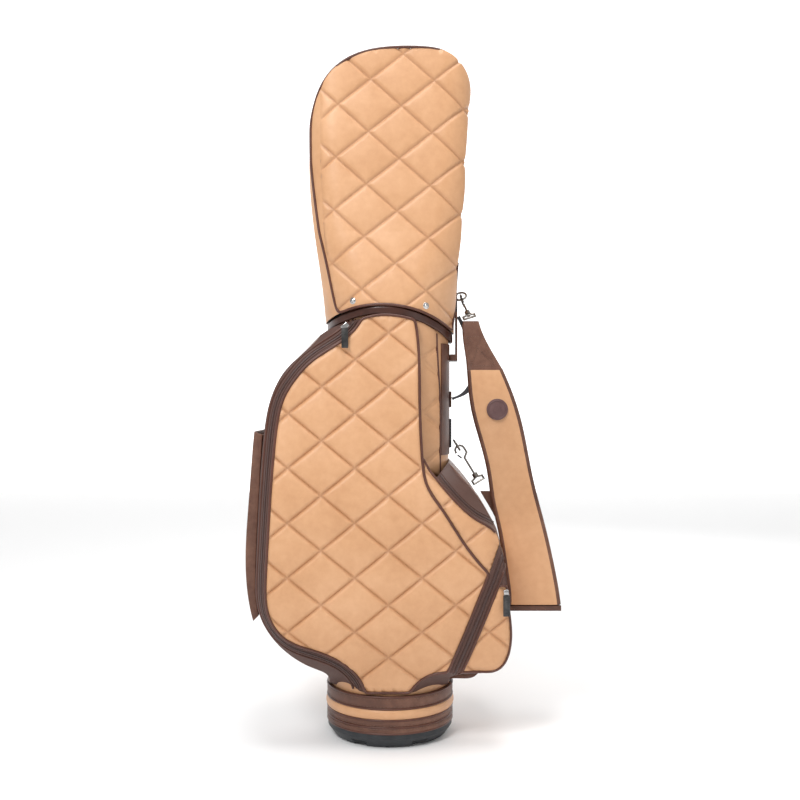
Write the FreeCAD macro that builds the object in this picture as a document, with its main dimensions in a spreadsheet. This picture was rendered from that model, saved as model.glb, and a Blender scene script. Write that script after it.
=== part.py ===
import FreeCAD, Part
import math
import os
import Sketcher

# Golf staff bag: moulded foot, round barrel with a club divider, side pockets with
# quilted faces, a zipped rain hood and a shoulder strap on two snap hooks.
# X- is the front (pouch side), X+ the spine (strap side), Y- the near side.

V = FreeCAD.Vector
doc = FreeCAD.newDocument("golf_staff_bag")

SIZES = {
    # foot and barrel
    "foot_height": 27, "foot_bottom_radius": 106, "foot_top_radius": 117, "pad_height": 3,
    "foot_floor": 14,
    "band_radius": 118, "low_band_top": 53, "soft_band_top": 72, "up_band_top": 96,
    "barrel_radius": 109, "barrel_wall": 3, "cover_thickness": 2, "board_thickness": 6,
    "play": 0.4,
    # mouth
    "mouth_crest": 779, "mouth_arc_radius": 202, "mouth_arc_x": -15, "roll_radius": 7.5,
    "collar_rise": 46, "collar_wall": 4, "divider_wall": 3, "divider_spacing": 62,
    # side pockets
    "panel_thickness": 4, "side_depth": 150, "side_depth_ends": 118, "side_depth_low": 112,
    "lining_depth": 95, "lining_thickness": 3,
    "fold_low_x": -42, "fold_high_x": -152, "tape_width": 23,
    # hood
    "hood_panel_depth": 95, "hood_wall": 3, "hood_lift_gap": 3, "hood_skirt_radius": 120.5,
    # strap
    "strap_thickness": 12, "badge_radius": 20, "handle_width": 18, "handle_thickness": 10,
    "hook_wire": 4, "ring_wire": 4,
    # zip pieces
    "slider_length": 14, "slider_width": 9, "slider_height": 6, "pull_length": 37,
    "pull_width": 12, "pull_thickness": 3, "cap_radius": 6.5,
}

sheet = doc.addObject("Spreadsheet::Sheet", "Sizes")
for row, (name, value) in enumerate(SIZES.items(), 1):
    sheet.set("A%d" % row, name)
    sheet.set("B%d" % row, str(value))
    sheet.setAlias("B%d" % row, name)
doc.recompute()


def size(name):
    """A driving dimension as the sheet holds it."""
    return float(sheet.get(name))


PIECES = []


# ---------------------------------------------------------------- feature helpers

def origin_plane(body, role):
    """One of a body's own origin planes."""
    return [feature for feature in body.Origin.OriginFeatures if feature.Role == role][0]


def new_body(label):
    """A PartDesign body that becomes one sub-part."""
    body = doc.addObject("PartDesign::Body", label)
    body.Label = label
    PIECES.append(body)
    return body


def polygon_sketch(body, role, corners, name="outline"):
    """A closed sketch whose corners are placed by expressions of the sheet."""
    sketch = body.newObject("Sketcher::SketchObject", name)
    sketch.AttachmentSupport = (origin_plane(body, role), "")
    sketch.MapMode = "FlatFace"
    count = len(corners)
    places = [(value_of(a), value_of(b)) for a, b in corners]
    for index in range(count):
        start = V(*places[index], 0)
        end = V(*places[(index + 1) % count], 0)
        sketch.addGeometry(Part.LineSegment(start, end), False)
    for index in range(count):
        after = (index + 1) % count
        sketch.addConstraint(Sketcher.Constraint("Coincident", index, 2, after, 1))
    for index, (across, up) in enumerate(corners):
        for kind, word, text, place in (("DistanceX", "x", across, places[index][0]),
                                        ("DistanceY", "y", up, places[index][1])):
            if abs(place) < 1e-9:
                edge = -2 if kind == "DistanceX" else -1
                sketch.addConstraint(Sketcher.Constraint("PointOnObject", index, 1, edge))
                continue
            number = sketch.addConstraint(Sketcher.Constraint(kind, -1, 1, index, 1, place))
            sketch.renameConstraint(number, "%s%d" % (word, index))
            sketch.setExpression("Constraints.%s%d" % (word, index), bound(text))
    doc.recompute()
    return sketch


def bound(text):
    """A sketch formula with each size named as the sheet's own cell."""
    for name in sorted(SIZES, key=len, reverse=True):
        text = text.replace("<%s>" % name, "Sizes.%s" % name)
    return text


def value_of(text):
    """The number that a sketch formula has now."""
    cell = doc.getObject("Scratch") or doc.addObject("Spreadsheet::Sheet", "Scratch")
    cell.set("A1", "=" + bound(text))
    doc.recompute()
    return float(cell.get("A1"))


def revolved(label, corners):
    """A ring turned about the bag's own axis from a section in the XZ plane."""
    body = new_body(label)
    sketch = polygon_sketch(body, "XZ_Plane", corners)
    turn = body.newObject("PartDesign::Revolution", "turn")
    turn.Profile = sketch
    turn.ReferenceAxis = (sketch, ["V_Axis"])
    turn.Angle = 360
    doc.recompute()
    return body


def mouth_height(across, offset=0.0):
    """Height of the saddle-shaped mouth edge above a place across the bag."""
    reach = size("mouth_arc_radius") + offset
    return (size("mouth_crest") - size("mouth_arc_radius")
            + math.sqrt(reach ** 2 - (across - size("mouth_arc_x")) ** 2))


def trim_to_mouth(body, offset_text):
    """Cut the top of a round body to the saddle-shaped mouth edge."""
    reach = value_of("<mouth_arc_radius> + " + offset_text)
    middle = size("mouth_crest") - size("mouth_arc_radius")
    centre = V(size("mouth_arc_x"), middle, 0)
    sketch = body.newObject("Sketcher::SketchObject", "mouth_cut")
    sketch.AttachmentSupport = (origin_plane(body, "XZ_Plane"), "")
    sketch.MapMode = "FlatFace"
    wide = reach * 0.99
    foot = math.sqrt(reach ** 2 - wide ** 2)
    left = V(centre.x - wide, middle + foot, 0)
    right = V(centre.x + wide, middle + foot, 0)
    top = size("mouth_crest") + 400
    crest = V(centre.x, middle + reach, 0)
    arc = Part.Arc(left, crest, right)
    sketch.addGeometry(arc, False)
    walls = [right, V(right.x, top, 0), V(left.x, top, 0), left]
    for start, end in zip(walls, walls[1:]):
        sketch.addGeometry(Part.LineSegment(start, end), False)
    cut = body.newObject("PartDesign::Pocket", "mouth")
    cut.Profile = sketch
    cut.Type = "ThroughAll"
    cut.Midplane = True
    doc.recompute()
    return body


def sewn(label, shape):
    """A free-form piece, whose shape comes straight from its own function."""
    piece = doc.addObject("Part::Feature", label)
    piece.Label = label
    piece.Shape = shape
    PIECES.append(piece)
    return piece


def shape_of(label):
    """The shape that a finished piece has."""
    return [piece.Shape for piece in PIECES if piece.Label == label][0]


def trimmed(shape, *labels):
    """A piece cut back at its seams from pieces made before it."""
    for label in labels:
        shape = shape.cut(shape_of(label))
    return max(shape.Solids, key=lambda solid: solid.Volume)


def off_barrel(shape):
    """A piece cut clear of the round barrel, of the foot bands and of the mouth roll."""
    reach = size("barrel_radius") + size("cover_thickness") + size("play") / 2
    shape = shape.cut(Part.makeCylinder(reach, 900, V(0, 0, 0)))
    shape = shape.cut(box_between((-300, -300, 0), (300, 300, size("up_band_top") + 0.5)))
    above = box_between((-300, -300, size("mouth_crest") - 90), (300, 300, 900))
    axis_place = V(size("mouth_arc_x"), -300, size("mouth_crest") - size("mouth_arc_radius"))
    arch = Part.makeCylinder(size("mouth_arc_radius") - 0.5, 600, axis_place, V(0, 1, 0))
    shape = shape.cut(above.cut(arch))
    return max(shape.Solids, key=lambda solid: solid.Volume)


# ---------------------------------------------------------------- geometry helpers

def curve(points):
    """A smooth edge through points."""
    spline = Part.BSplineCurve()
    spline.interpolate([V(*point) for point in points])
    return spline.toShape()


def line(start, end):
    """A straight edge."""
    return Part.makeLine(V(*start), V(*end))


def strip(sections, ruled=False):
    """A solid lofted through closed quadrilateral sections."""
    wires = []
    for section in sections:
        corners = [V(*corner) for corner in section]
        wires.append(Part.makePolygon(corners + [corners[0]]))
    return Part.makeLoft(wires, True, ruled)


def mirrored(shape):
    """The same piece on the far side."""
    return shape.mirror(V(0, 0, 0), V(0, 1, 0))


def both_sides(name, shape):
    """A near-side piece and its far-side twin."""
    near = sewn("near_" + name, shape)
    far = sewn("far_" + name, mirrored(shape))
    return near, far


def tube_along(points, radius):
    """A round bar through points, straight runs joined by balls at the turns."""
    runs = []
    for start, end in zip(points, points[1:]):
        way = V(*end) - V(*start)
        runs.append(Part.makeCylinder(radius, way.Length, V(*start), way))
    balls = [Part.makeSphere(radius * 1.03, V(*point)) for point in points[1:-1]]
    return runs[0].multiFuse(runs[1:] + balls)


def depth_curve(inset):
    """Edge in the YZ plane that gives how far the near face stands out."""
    ends = size("side_depth_ends") - inset
    full = size("side_depth") - inset
    low = size("side_depth_low") - inset
    swell = full - ends
    points = [(0, -low, 60), (0, -low, 96), (0, -(ends + 0.62 * swell), 185),
              (0, -full, 290), (0, -full, 430), (0, -(ends + 0.6 * swell), 560),
              (0, -(ends + 0.1 * swell), 700), (0, -ends, 790), (0, -ends, 840)]
    return curve(points)


def side_depth(height, inset=0.0):
    """How far the near face stands out at a height."""
    edge = depth_curve(inset)
    level = Part.makeLine(V(0, -400, height), V(0, 0, height))
    meeting = edge.distToShape(level)[1][0][0]
    return -meeting.y


def face_shell(inner, outer):
    """The curved layer between two depths of the near face, as wide as the bag."""
    front = depth_curve(-outer)
    back = depth_curve(-inner)
    caps = [Part.makeLine(front.Vertexes[0].Point, back.Vertexes[0].Point),
            Part.makeLine(front.Vertexes[1].Point, back.Vertexes[1].Point)]
    wire = Part.Wire(Part.__sortEdges__([front, caps[1], back, caps[0]]))
    face = Part.Face(wire)
    face.translate(V(-300, 0, 0))
    return face.extrude(V(600, 0, 0))


def prism(edges):
    """A closed outline in the XZ plane, carried through the near side."""
    wire = Part.Wire(Part.__sortEdges__(edges))
    return Part.Face(wire).extrude(V(0, -300, 0))


def box_between(low, high):
    """A box from its two opposite corners."""
    return Part.makeBox(high[0] - low[0], high[1] - low[1], high[2] - low[2], V(*low))


# ---------------------------------------------------------------- outlines (X, Z)

PEAR_LEFT = [(-49, 771), (-92, 726), (-141, 693), (-172, 657), (-188, 629), (-199, 582),
             (-204, 532), (-213, 385), (-217, 312), (-211, 243), (-184, 204), (-122, 178),
             (-67, 144), (-43, 101)]
FRONT_EDGE = [(-108, 763), (-131, 738), (-165, 704), (-197, 668), (-213, 634), (-224, 588),
              (-230, 535), (-239, 385), (-242, 312), (-235, 237), (-205, 187), (-150, 144),
              (-118, 122), (-112, 99)]
FRONT_DEPTH = [50, 70, 82, 90, 93, 95, 95, 95, 95, 95, 95, 88, 60, 38]
PEAR_RIGHT = [(46, 769), (54, 626), (58, 525), (68, 472), (92, 435), (128, 379), (175, 321)]
REAR_EDGE = [(83, 487), (120, 444), (156, 414), (182, 398), (200, 350), (208, 300),
             (213, 245), (214, 186), (200, 151), (170, 142), (104, 140), (62, 128), (39, 101)]
REAR_OUTER = [(108, 510), (147, 467), (179, 420), (193, 394), (205, 346), (211, 298),
              (214, 245), (214, 180), (200, 142), (168, 132), (124, 128), (112, 116), (108, 99)]
REAR_DEPTH = [52, 88, 95, 95, 95, 95, 95, 95, 95, 95, 88, 62, 44]
ZIP_FOOT = (104, 140)
ZIP_HEAD = (175, 321)


def flat(point):
    """A point of the XZ plane as a point in space."""
    return (point[0], 0, point[1])


# ---------------------------------------------------------------- foot and bands

def make_base_moulding():
    """Black moulded cup that the bag stands on, with scallops between its feet."""
    body = revolved("base_moulding", [
        ("0", "<pad_height>"), ("<foot_bottom_radius>", "<pad_height>"),
        ("<foot_top_radius>", "<pad_height> + 15"), ("<foot_top_radius>", "<foot_height>"),
        ("<barrel_radius> + <cover_thickness> + <play>", "<foot_height>"),
        ("<barrel_radius> + <cover_thickness> + <play>", "<foot_floor>"),
        ("0", "<foot_floor>")])
    scallop = body.newObject("Sketcher::SketchObject", "scallop")
    scallop.AttachmentSupport = (origin_plane(body, "XY_Plane"), "")
    scallop.MapMode = "FlatFace"
    reach = size("foot_bottom_radius") + 12
    scallop.addGeometry(Part.Circle(V(reach, 0, 0), V(0, 0, 1), 18), False)
    middle = scallop.addConstraint(Sketcher.Constraint("DistanceX", -1, 1, 0, 3, reach))
    scallop.renameConstraint(middle, "reach")
    scallop.setExpression("Constraints.reach", "Sizes.foot_bottom_radius + 12")
    scallop.addConstraint(Sketcher.Constraint("PointOnObject", 0, 3, -1))
    scallop.addConstraint(Sketcher.Constraint("Radius", 0, 18))
    notch = body.newObject("PartDesign::Pocket", "notch")
    notch.Profile = scallop
    notch.Reversed = True
    notch.Length = 12
    notch.setExpression("Length", "Sizes.pad_height + 9")
    doc.recompute()
    ring = body.newObject("PartDesign::PolarPattern", "notches")
    ring.Originals = [notch]
    ring.Axis = (scallop, ["N_Axis"])
    ring.Angle = 360
    ring.Occurrences = 6
    body.Tip = ring
    doc.recompute()
    return body


def make_foot_pads():
    """Seven rubber pads under the moulding, one at its middle and six round it."""
    pads = [Part.makeCylinder(14, size("pad_height"))]
    for turn in range(6):
        angle = math.radians(60 * turn + 30)
        reach = size("foot_bottom_radius") - 20
        place = V(reach * math.cos(angle), reach * math.sin(angle), 0)
        pads.append(Part.makeCylinder(14, size("pad_height"), place))
    sewn("foot_pads", Part.makeCompound(pads))


def make_base_bands():
    """Leather bands stacked round the foot: double lip, padded roll and upper band."""
    inner = "<barrel_radius> + <cover_thickness> + <play>"
    revolved("lower_base_band", [
        (inner, "<foot_height>"), ("<band_radius>", "<foot_height>"),
        ("<band_radius> + 0.5", "<foot_height> + 11"), ("<band_radius> - 1.5", "<foot_height> + 13"),
        ("<band_radius> + 0.5", "<foot_height> + 15"), ("<band_radius>", "<low_band_top>"),
        (inner, "<low_band_top>")])
    revolved("padded_base_band", [
        (inner, "<low_band_top>"), ("<band_radius> - 2", "<low_band_top>"),
        ("<band_radius>", "<low_band_top> + 5"), ("<band_radius>", "<soft_band_top> - 5"),
        ("<band_radius> - 2", "<soft_band_top>"), (inner, "<soft_band_top>")])
    revolved("upper_base_band", [
        (inner, "<soft_band_top>"), ("<band_radius>", "<soft_band_top>"),
        ("<band_radius>", "<up_band_top>"), (inner, "<up_band_top>")])


# ---------------------------------------------------------------- barrel and mouth

def make_barrel():
    """Stiff round tube that holds the clubs, its top edge cut to the mouth's saddle."""
    top = "<mouth_crest> + 60"
    floor = "<foot_floor> + <board_thickness>"
    body = revolved("barrel", [
        ("<barrel_radius> - <barrel_wall>", floor), ("<barrel_radius>", floor),
        ("<barrel_radius>", top), ("<barrel_radius> - <barrel_wall>", top)])
    trim_to_mouth(body, "0")


def make_bottom_board():
    """Round board in the foot that the club grips stand on."""
    board = doc.addObject("Part::Cylinder", "bottom_board")
    board.Label = "bottom_board"
    board.setExpression("Radius", "Sizes.barrel_radius")
    board.setExpression("Height", "Sizes.board_thickness")
    board.setExpression("Placement.Base.z", "Sizes.foot_floor")
    PIECES.append(board)


def make_barrel_cover():
    """Leather cover round the barrel between the bands and the mouth roll."""
    top = "<mouth_crest> + 60"
    outer = "<barrel_radius> + <cover_thickness>"
    body = revolved("barrel_cover", [
        ("<barrel_radius>", "<foot_height>"), (outer, "<foot_height>"),
        (outer, top), ("<barrel_radius>", top)])
    trim_to_mouth(body, "0")


def make_spine_strip():
    """Brown leather strip down the spine side, from the mouth to the ball pocket."""
    radius = size("barrel_radius") + size("cover_thickness")
    outer = Part.makeCylinder(radius + 2, 300, V(0, 0, 524), V(0, 0, 1), 64)
    inner = Part.makeCylinder(radius, 300, V(0, 0, 524), V(0, 0, 1), 64)
    shape = outer.cut(inner)
    shape.rotate(V(0, 0, 0), V(0, 0, 1), -32)
    cap = box_between((0, -200, mouth_height(112) - 4), (300, 200, 900))
    sewn("spine_strip", shape.cut(cap))


def saddle_ring(low, high, inner, outer):
    """A round ring whose lower and upper edges both follow the mouth's saddle."""
    tall = 160
    base = size("mouth_crest") - 100
    ring = Part.makeCylinder(outer, tall, V(0, 0, base))
    ring = ring.cut(Part.makeCylinder(inner, tall, V(0, 0, base)))
    axis_place = V(size("mouth_arc_x"), -200, size("mouth_crest") - size("mouth_arc_radius"))
    below = Part.makeCylinder(size("mouth_arc_radius") + low, 400, axis_place, V(0, 1, 0))
    above = Part.makeCylinder(size("mouth_arc_radius") + high, 400, axis_place, V(0, 1, 0))
    return ring.common(above).cut(below)


def make_mouth_roll():
    """Rolled leather cuff that finishes the mouth edge."""
    inner = size("barrel_radius") - size("barrel_wall") + 1 + size("play") / 2
    outer = size("barrel_radius") + size("cover_thickness") + size("roll_radius")
    roll = saddle_ring(0, 2 * size("roll_radius"), inner, outer)
    edges = [edge for edge in roll.Edges if edge.BoundBox.DiagonalLength > 100]
    sewn("mouth_roll", roll.makeFillet(size("roll_radius") * 0.45, edges))


def make_mouth_collar():
    """Moulded collar standing in the mouth, where the rain hood snaps on."""
    outer = size("barrel_radius") - size("barrel_wall") + 1
    inner = outer - size("collar_wall")
    low = -60
    lower = saddle_ring(low, 0, inner, outer - 1 - size("play") / 2)
    upper = saddle_ring(0, 2 * size("roll_radius") + size("collar_rise"), inner, outer)
    sewn("mouth_collar", lower.fuse(upper).removeSplitter())


def collar_inner():
    """Inside radius of the mouth collar."""
    return size("barrel_radius") - size("barrel_wall") + 1 - size("collar_wall")


def divider_floor():
    """Height that the dividers stand on."""
    return size("foot_floor") + size("board_thickness")


def divider_top_level():
    """Height of the dividers' upper edge."""
    return mouth_height(collar_inner()) + 10


def make_dividers():
    """Full-length club dividers: two across the bag and a spine in three lengths."""
    reach = collar_inner() - 1
    wall = size("divider_wall")
    spacing = size("divider_spacing") / 2
    low = divider_floor()
    high = divider_top_level()
    half = math.sqrt(reach ** 2 - (spacing + wall / 2) ** 2)
    across = []
    for middle in (-spacing, spacing):
        across.append(box_between((middle - wall / 2, -half, low), (middle + wall / 2, half, high)))
    sewn("cross_dividers", Part.makeCompound(across))
    ends = reach - 1
    gap = wall / 2
    spans = ((-ends, -spacing - gap), (-spacing + gap, spacing - gap), (spacing + gap, ends))
    lengths = [box_between((start, -wall / 2, low), (end, wall / 2, high)) for start, end in spans]
    sewn("spine_dividers", Part.makeCompound(lengths))


def make_divider_top():
    """Padded grid that caps the dividers level with the mouth."""
    reach = collar_inner() - size("play") / 4
    low = divider_top_level()
    high = low + 14
    rim = Part.makeCylinder(reach, high - low, V(0, 0, low))
    rim = rim.cut(Part.makeCylinder(reach - 6, high - low, V(0, 0, low)))
    bar = 10
    spacing = size("divider_spacing") / 2
    grid = rim
    for middle in (-spacing, spacing):
        grid = grid.fuse(box_between((middle - bar / 2, -reach + 3, low),
                                     (middle + bar / 2, reach - 3, high)))
    grid = grid.fuse(box_between((-reach + 3, -bar / 2, low), (reach - 3, bar / 2, high)))
    disc = Part.makeCylinder(reach, high - low, V(0, 0, low))
    sewn("divider_top", grid.common(disc).removeSplitter())


# ---------------------------------------------------------------- front side

def wall_section(edge, half_width, outward, thickness, bulge):
    """Closed section of a wall that crosses the bag, bowed out at its middle."""
    out = V(outward[0], 0, outward[1])
    place = V(edge[0], 0, edge[1])
    side = V(0, half_width, 0)
    near = place - side
    far = place + side
    middle = place + out * bulge
    inward = out * -thickness
    front = Part.Arc(near, middle, far).toShape()
    back = Part.Arc(far + inward, middle + inward, near + inward).toShape()
    return Part.Wire([front, Part.makeLine(far, far + inward), back,
                      Part.makeLine(near + inward, near)])


def outward_at(points, index, turn):
    """Unit normal of an outline at one of its points, turned to the outside."""
    before = points[max(index - 1, 0)]
    after = points[min(index + 1, len(points) - 1)]
    along = V(after[0] - before[0], 0, after[1] - before[1])
    along.normalize()
    return (along.z * turn, -along.x * turn)


def wall_along(points, depths, bulges, turn, thickness, first, last):
    """A cross wall lofted along part of an outline."""
    wires = []
    for index in range(first, last + 1):
        outward = outward_at(points, index, turn)
        bulge = max(bulges[index], 0.5)
        wires.append(wall_section(points[index], depths[index], outward, thickness, bulge))
    return Part.makeLoft(wires, True, False)


def make_front_wall():
    """Brown wall between the two front zip tapes, from the mouth down to the foot."""
    bulges = [12, 9, 6, 4, 3, 2, 2, 2, 2, 2, 2, 3, 6, 6]
    depths = [depth - 1.5 for depth in FRONT_DEPTH]
    wall = wall_along(FRONT_EDGE, depths, bulges, 1, size("panel_thickness"), 0, 13)
    sewn("front_wall", off_barrel(wall))


def make_front_pouch():
    """Open-topped brown pouch on the front wall."""
    back = [(-229, 562), (-233, 500), (-237, 420), (-241, 330), (-241, 275), (-236, 232)]
    front = [(-247, 569), (-253, 500), (-259, 420), (-263, 330), (-259, 270), (-249, 222)]
    half = 78
    wires = []
    for inner, outer in zip(back, front):
        wires.append([(inner[0] - 3.2, -half, inner[1]), (outer[0], -half, outer[1]),
                      (outer[0], half, outer[1]), (inner[0] - 3.2, half, inner[1])])
    block = strip(wires)
    hollow = []
    wall = 2.4
    for inner, outer in zip(back[:-1], front[:-1]):
        hollow.append([(inner[0] - 3.2 - wall, wall - half, inner[1]),
                       (outer[0] + wall, wall - half, outer[1]),
                       (outer[0] + wall, half - wall, outer[1]),
                       (inner[0] - 3.2 - wall, half - wall, inner[1])])
    top = hollow[0]
    lifted = [(x, y, z + 20) for x, y, z in top]
    room = strip([lifted, top] + hollow[1:])
    sewn("front_pouch", trimmed(block.cut(room), "front_wall"))


def border(face_points, wall_points, wall_depths, turn, ruled=False):
    """A band that slants from behind the edge of a quilted face to the edge of a cross wall."""
    sections = []
    thick = size("panel_thickness")
    for index, face in enumerate(face_points):
        wall = wall_points[index]
        across, up = outward_at(face_points, index, turn)
        out = V(across, 0, up)
        behind = side_depth(face[1]) - thick - size("play") * 2
        near = V(face[0], -behind, face[1]) + out * size("play") * 2
        back = V(wall[0], -wall_depths[index], wall[1])
        inward = out * (-thick + 1)
        sections.append([tuple(near), tuple(back), tuple(back + inward), tuple(near + inward)])
    return strip(sections, ruled)


def make_front_zip_tapes():
    """Brown zip tape that slants from each quilted face to the front wall."""
    both_sides("front_zip_tape", off_barrel(border(PEAR_LEFT, FRONT_EDGE, FRONT_DEPTH, 1)))


# ---------------------------------------------------------------- quilted side faces

def pear_edges():
    """Closed outline of the large quilted face."""
    crest = (size("mouth_arc_x"), 0, mouth_height(size("mouth_arc_x"), -1))
    left = curve([flat(point) for point in PEAR_LEFT])
    bottom = line(flat(PEAR_LEFT[-1]), (37, 0, 101))
    hip = curve([(37, 0, 101), (60, 0, 128), flat(ZIP_FOOT)])
    slant = line(flat(ZIP_FOOT), flat(ZIP_HEAD))
    right = curve([flat(point) for point in reversed(PEAR_RIGHT)])
    top = Part.Arc(V(*flat(PEAR_RIGHT[0])), V(*crest), V(*flat(PEAR_LEFT[0]))).toShape()
    return [left, bottom, hip, slant, right, top]


def beyond_fold(offset):
    """Everything in front of the slanted line that the pocket's opening part folds on."""
    low = V(size("fold_low_x") + offset, 0, 100)
    high = V(size("fold_high_x") + offset, 0, 690)
    rise = high - low
    rise.normalize()
    start = low - rise * 50
    end = low + rise * 800
    corners = [start, end, end + V(-600, 0, 0), start + V(-600, 0, 0), start]
    return Part.Face(Part.makePolygon(corners)).extrude(V(0, -300, 0))


def make_side_faces():
    """Large quilted face of each side pocket: a part that opens and a part that stays."""
    shell = face_shell(-size("panel_thickness"), 0)
    face = prism(pear_edges()).common(shell)
    play = size("play")
    ends = box_between((-400, -400, 0), (400, 0, 112))
    door = face.common(beyond_fold(-play / 2)).cut(ends)
    rest = face.cut(beyond_fold(play / 2).cut(ends.translated(V(0, 0, -play))))
    both_sides("pocket_door", max(door.Solids, key=lambda solid: solid.Volume))
    both_sides("side_face", off_barrel(rest))


def make_shoulder_faces():
    """Second quilted panel of each side, between the large face and the zip cover."""
    shell = face_shell(-size("panel_thickness"), 0)
    gap = 0.6
    left = [(x + gap, z) for x, z in PEAR_RIGHT[2:]]
    edges = [curve([flat(point) for point in left])]
    upper = [(83, 487), (120, 444), (156, 414), (182, 398), (193, 372)]
    edges.append(line(flat(left[0]), (72, 0, 500)))
    edges.append(line((72, 0, 500), flat(upper[0])))
    edges.append(curve([flat(point) for point in upper]))
    edges.append(line(flat(upper[-1]), flat(left[-1])))
    both_sides("shoulder_face", trimmed(prism(edges).common(shell), "near_side_face"))


def make_corner_faces():
    """Quilted lower corner beyond the slanted zip."""
    shell = face_shell(-size("panel_thickness"), 0)
    wide = size("tape_width") * 1.1
    foot = (ZIP_FOOT[0] + wide, 0, ZIP_FOOT[1] + 1)
    head = (191, 0, 300)
    corner = [(207, 0, 300), (212, 0, 245), (213, 0, 186), (199, 0, 151), (168, 0, 142)]
    edges = [line(foot, head), line(head, corner[0]), curve(corner), line(corner[-1], foot)]
    both_sides("corner_face", prism(edges).common(shell))


def make_slanted_zip_tapes():
    """Ribbed zip band that crosses each side face on the slant."""
    shell = face_shell(-size("panel_thickness"), 0)
    wide = size("tape_width") * 1.1
    gap = 0.5
    corners = [(ZIP_FOOT[0] + gap, 0, ZIP_FOOT[1]), (ZIP_HEAD[0] + gap, 0, ZIP_HEAD[1] + gap),
               (193.4, 0, 371), (206, 0, 300.5), (190.5, 0, 300.5),
               (ZIP_FOOT[0] + wide - gap, 0, ZIP_FOOT[1] + 0.6)]
    edges = [line(start, end) for start, end in zip(corners, corners[1:] + corners[:1])]
    tape = trimmed(prism(edges).common(shell), "near_side_face", "near_shoulder_face",
                   "near_corner_face")
    both_sides("slanted_zip_tape", tape)


# ---------------------------------------------------------------- rear side

def make_rear_side():
    """Sloped brown cover, rear wall and underside of the ball pocket."""
    depths = [depth - 1.5 for depth in REAR_DEPTH]
    bulges = [6, 4, 2, 2, 2, 2, 2, 2, 2, 2, 3, 4, 5]
    thick = size("panel_thickness")
    edge = border(REAR_EDGE, REAR_OUTER, REAR_DEPTH, -1, True)
    both_sides("rear_zip_tape", trimmed(off_barrel(edge), "near_side_face", "near_corner_face",
                                        "near_shoulder_face", "near_slanted_zip_tape"))
    cover = wall_along(REAR_OUTER, depths, bulges, -1, thick, 0, 3)
    wall = wall_along(REAR_OUTER, depths, bulges, -1, thick, 3, 8)
    floor = wall_along(REAR_OUTER, depths, bulges, -1, thick, 8, 12)
    tapes = ("near_rear_zip_tape", "far_rear_zip_tape")
    sewn("accessory_cover", trimmed(off_barrel(cover), *tapes))
    sewn("rear_wall", trimmed(wall, *tapes))
    sewn("pocket_floor", trimmed(off_barrel(floor), *tapes))


def make_pocket_walls():
    """Inner walls: one down the middle of the front, one behind each side pocket."""
    edge = [(x + 6, z) for x, z in FRONT_EDGE[1:12]]
    outer = [flat(point) for point in edge]
    radius = size("barrel_radius") + size("cover_thickness") + size("play")
    bottom = (-radius, 0, edge[-1][1] + 4)
    top = (-radius, 0, edge[0][1] - 14)
    outline = [curve(outer), line(outer[-1], bottom), line(bottom, top), line(top, outer[0])]
    face = Part.Face(Part.Wire(Part.__sortEdges__(outline)))
    face.translate(V(0, -size("lining_thickness") / 2, 0))
    thick = size("lining_thickness")
    middle_wall = trimmed(face.extrude(V(0, thick, 0)), "front_wall")
    depth = size("lining_depth")
    corners = [(0, 0, 470), (72, 0, 456), (94, 0, 424), (130, 0, 368), (166, 0, 322),
               (104, 0, 158), (0, 0, 140)]
    edges = [line(start, end) for start, end in zip(corners, corners[1:] + corners[:1])]
    slab = box_between((0, -depth - thick, 0), (300, -depth, 900))
    plate = off_barrel(prism(edges).common(slab))
    sewn("pocket_linings", Part.makeCompound([middle_wall, plate, mirrored(plate)]))


# ---------------------------------------------------------------- carry handle

HANDLE_PATH = [(130, 784), (137, 770), (148, 746), (158, 712), (161, 680), (153, 652),
               (137, 636), (118, 628)]


def make_carry_handle():
    """Padded grab handle on the spine, its two tabs, and the grab tab above the foot."""
    sections = []
    last = len(HANDLE_PATH) - 1
    half_thickness = size("handle_thickness") / 2
    for index, (x, z) in enumerate(HANDLE_PATH):
        out = outward_at(HANDLE_PATH, index, -1)
        deep = half_thickness if 1 < index < last - 1 else 0.6 * half_thickness
        place = V(x, 0, z)
        lift = V(out[0], 0, out[1]) * deep
        side = V(0, size("handle_width") / 2, 0)
        sections.append([tuple(place - side - lift), tuple(place - side + lift),
                         tuple(place + side + lift), tuple(place + side - lift)])
    radius = size("barrel_radius") + size("cover_thickness") + 2.2
    upper = box_between((124, -14, 700), (127, 14, 792))
    upper = upper.fuse(box_between((radius, -14, 700), (127, 14, 712))).removeSplitter()
    lower = box_between((radius, -14, 612), (radius + 3, 14, 642))
    sewn("handle_tabs", Part.makeCompound([upper, lower]))
    sewn("carry_handle", trimmed(strip(sections), "handle_tabs"))
    bar = strip([[(103, -16, 97), (103, 16, 97), (103, 16, 103), (103, -16, 103)],
                 [(130, -16, 101), (130, 16, 101), (128, 16, 107), (128, -16, 107)],
                 [(158, -16, 104), (158, 16, 104), (156, 16, 110), (156, -16, 110)],
                 [(172, -16, 125), (172, 16, 125), (166, 16, 125), (166, -16, 125)]])
    reach = size("barrel_radius") + size("cover_thickness") + size("play") / 2
    bar = bar.cut(Part.makeCylinder(reach, 200))
    bar = bar.cut(box_between((0, -50, 0), (120, 50, size("up_band_top"))))
    sewn("bottom_grab_tab", trimmed(bar, "pocket_floor"))


# ---------------------------------------------------------------- strap rings on the bag

UPPER_RING = (136, 34, 826)
LOWER_RING = (127, 0, 540)
UPPER_EYE = (151, -20, 778)
LOWER_EYE = (171, -1, 468)
RING_RADIUS = 11


def pull_way(ring, eye):
    """Unit vector from a ring to the strap end that hangs on it."""
    along = V(*eye) - V(*ring)
    along.normalize()
    return along


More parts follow.
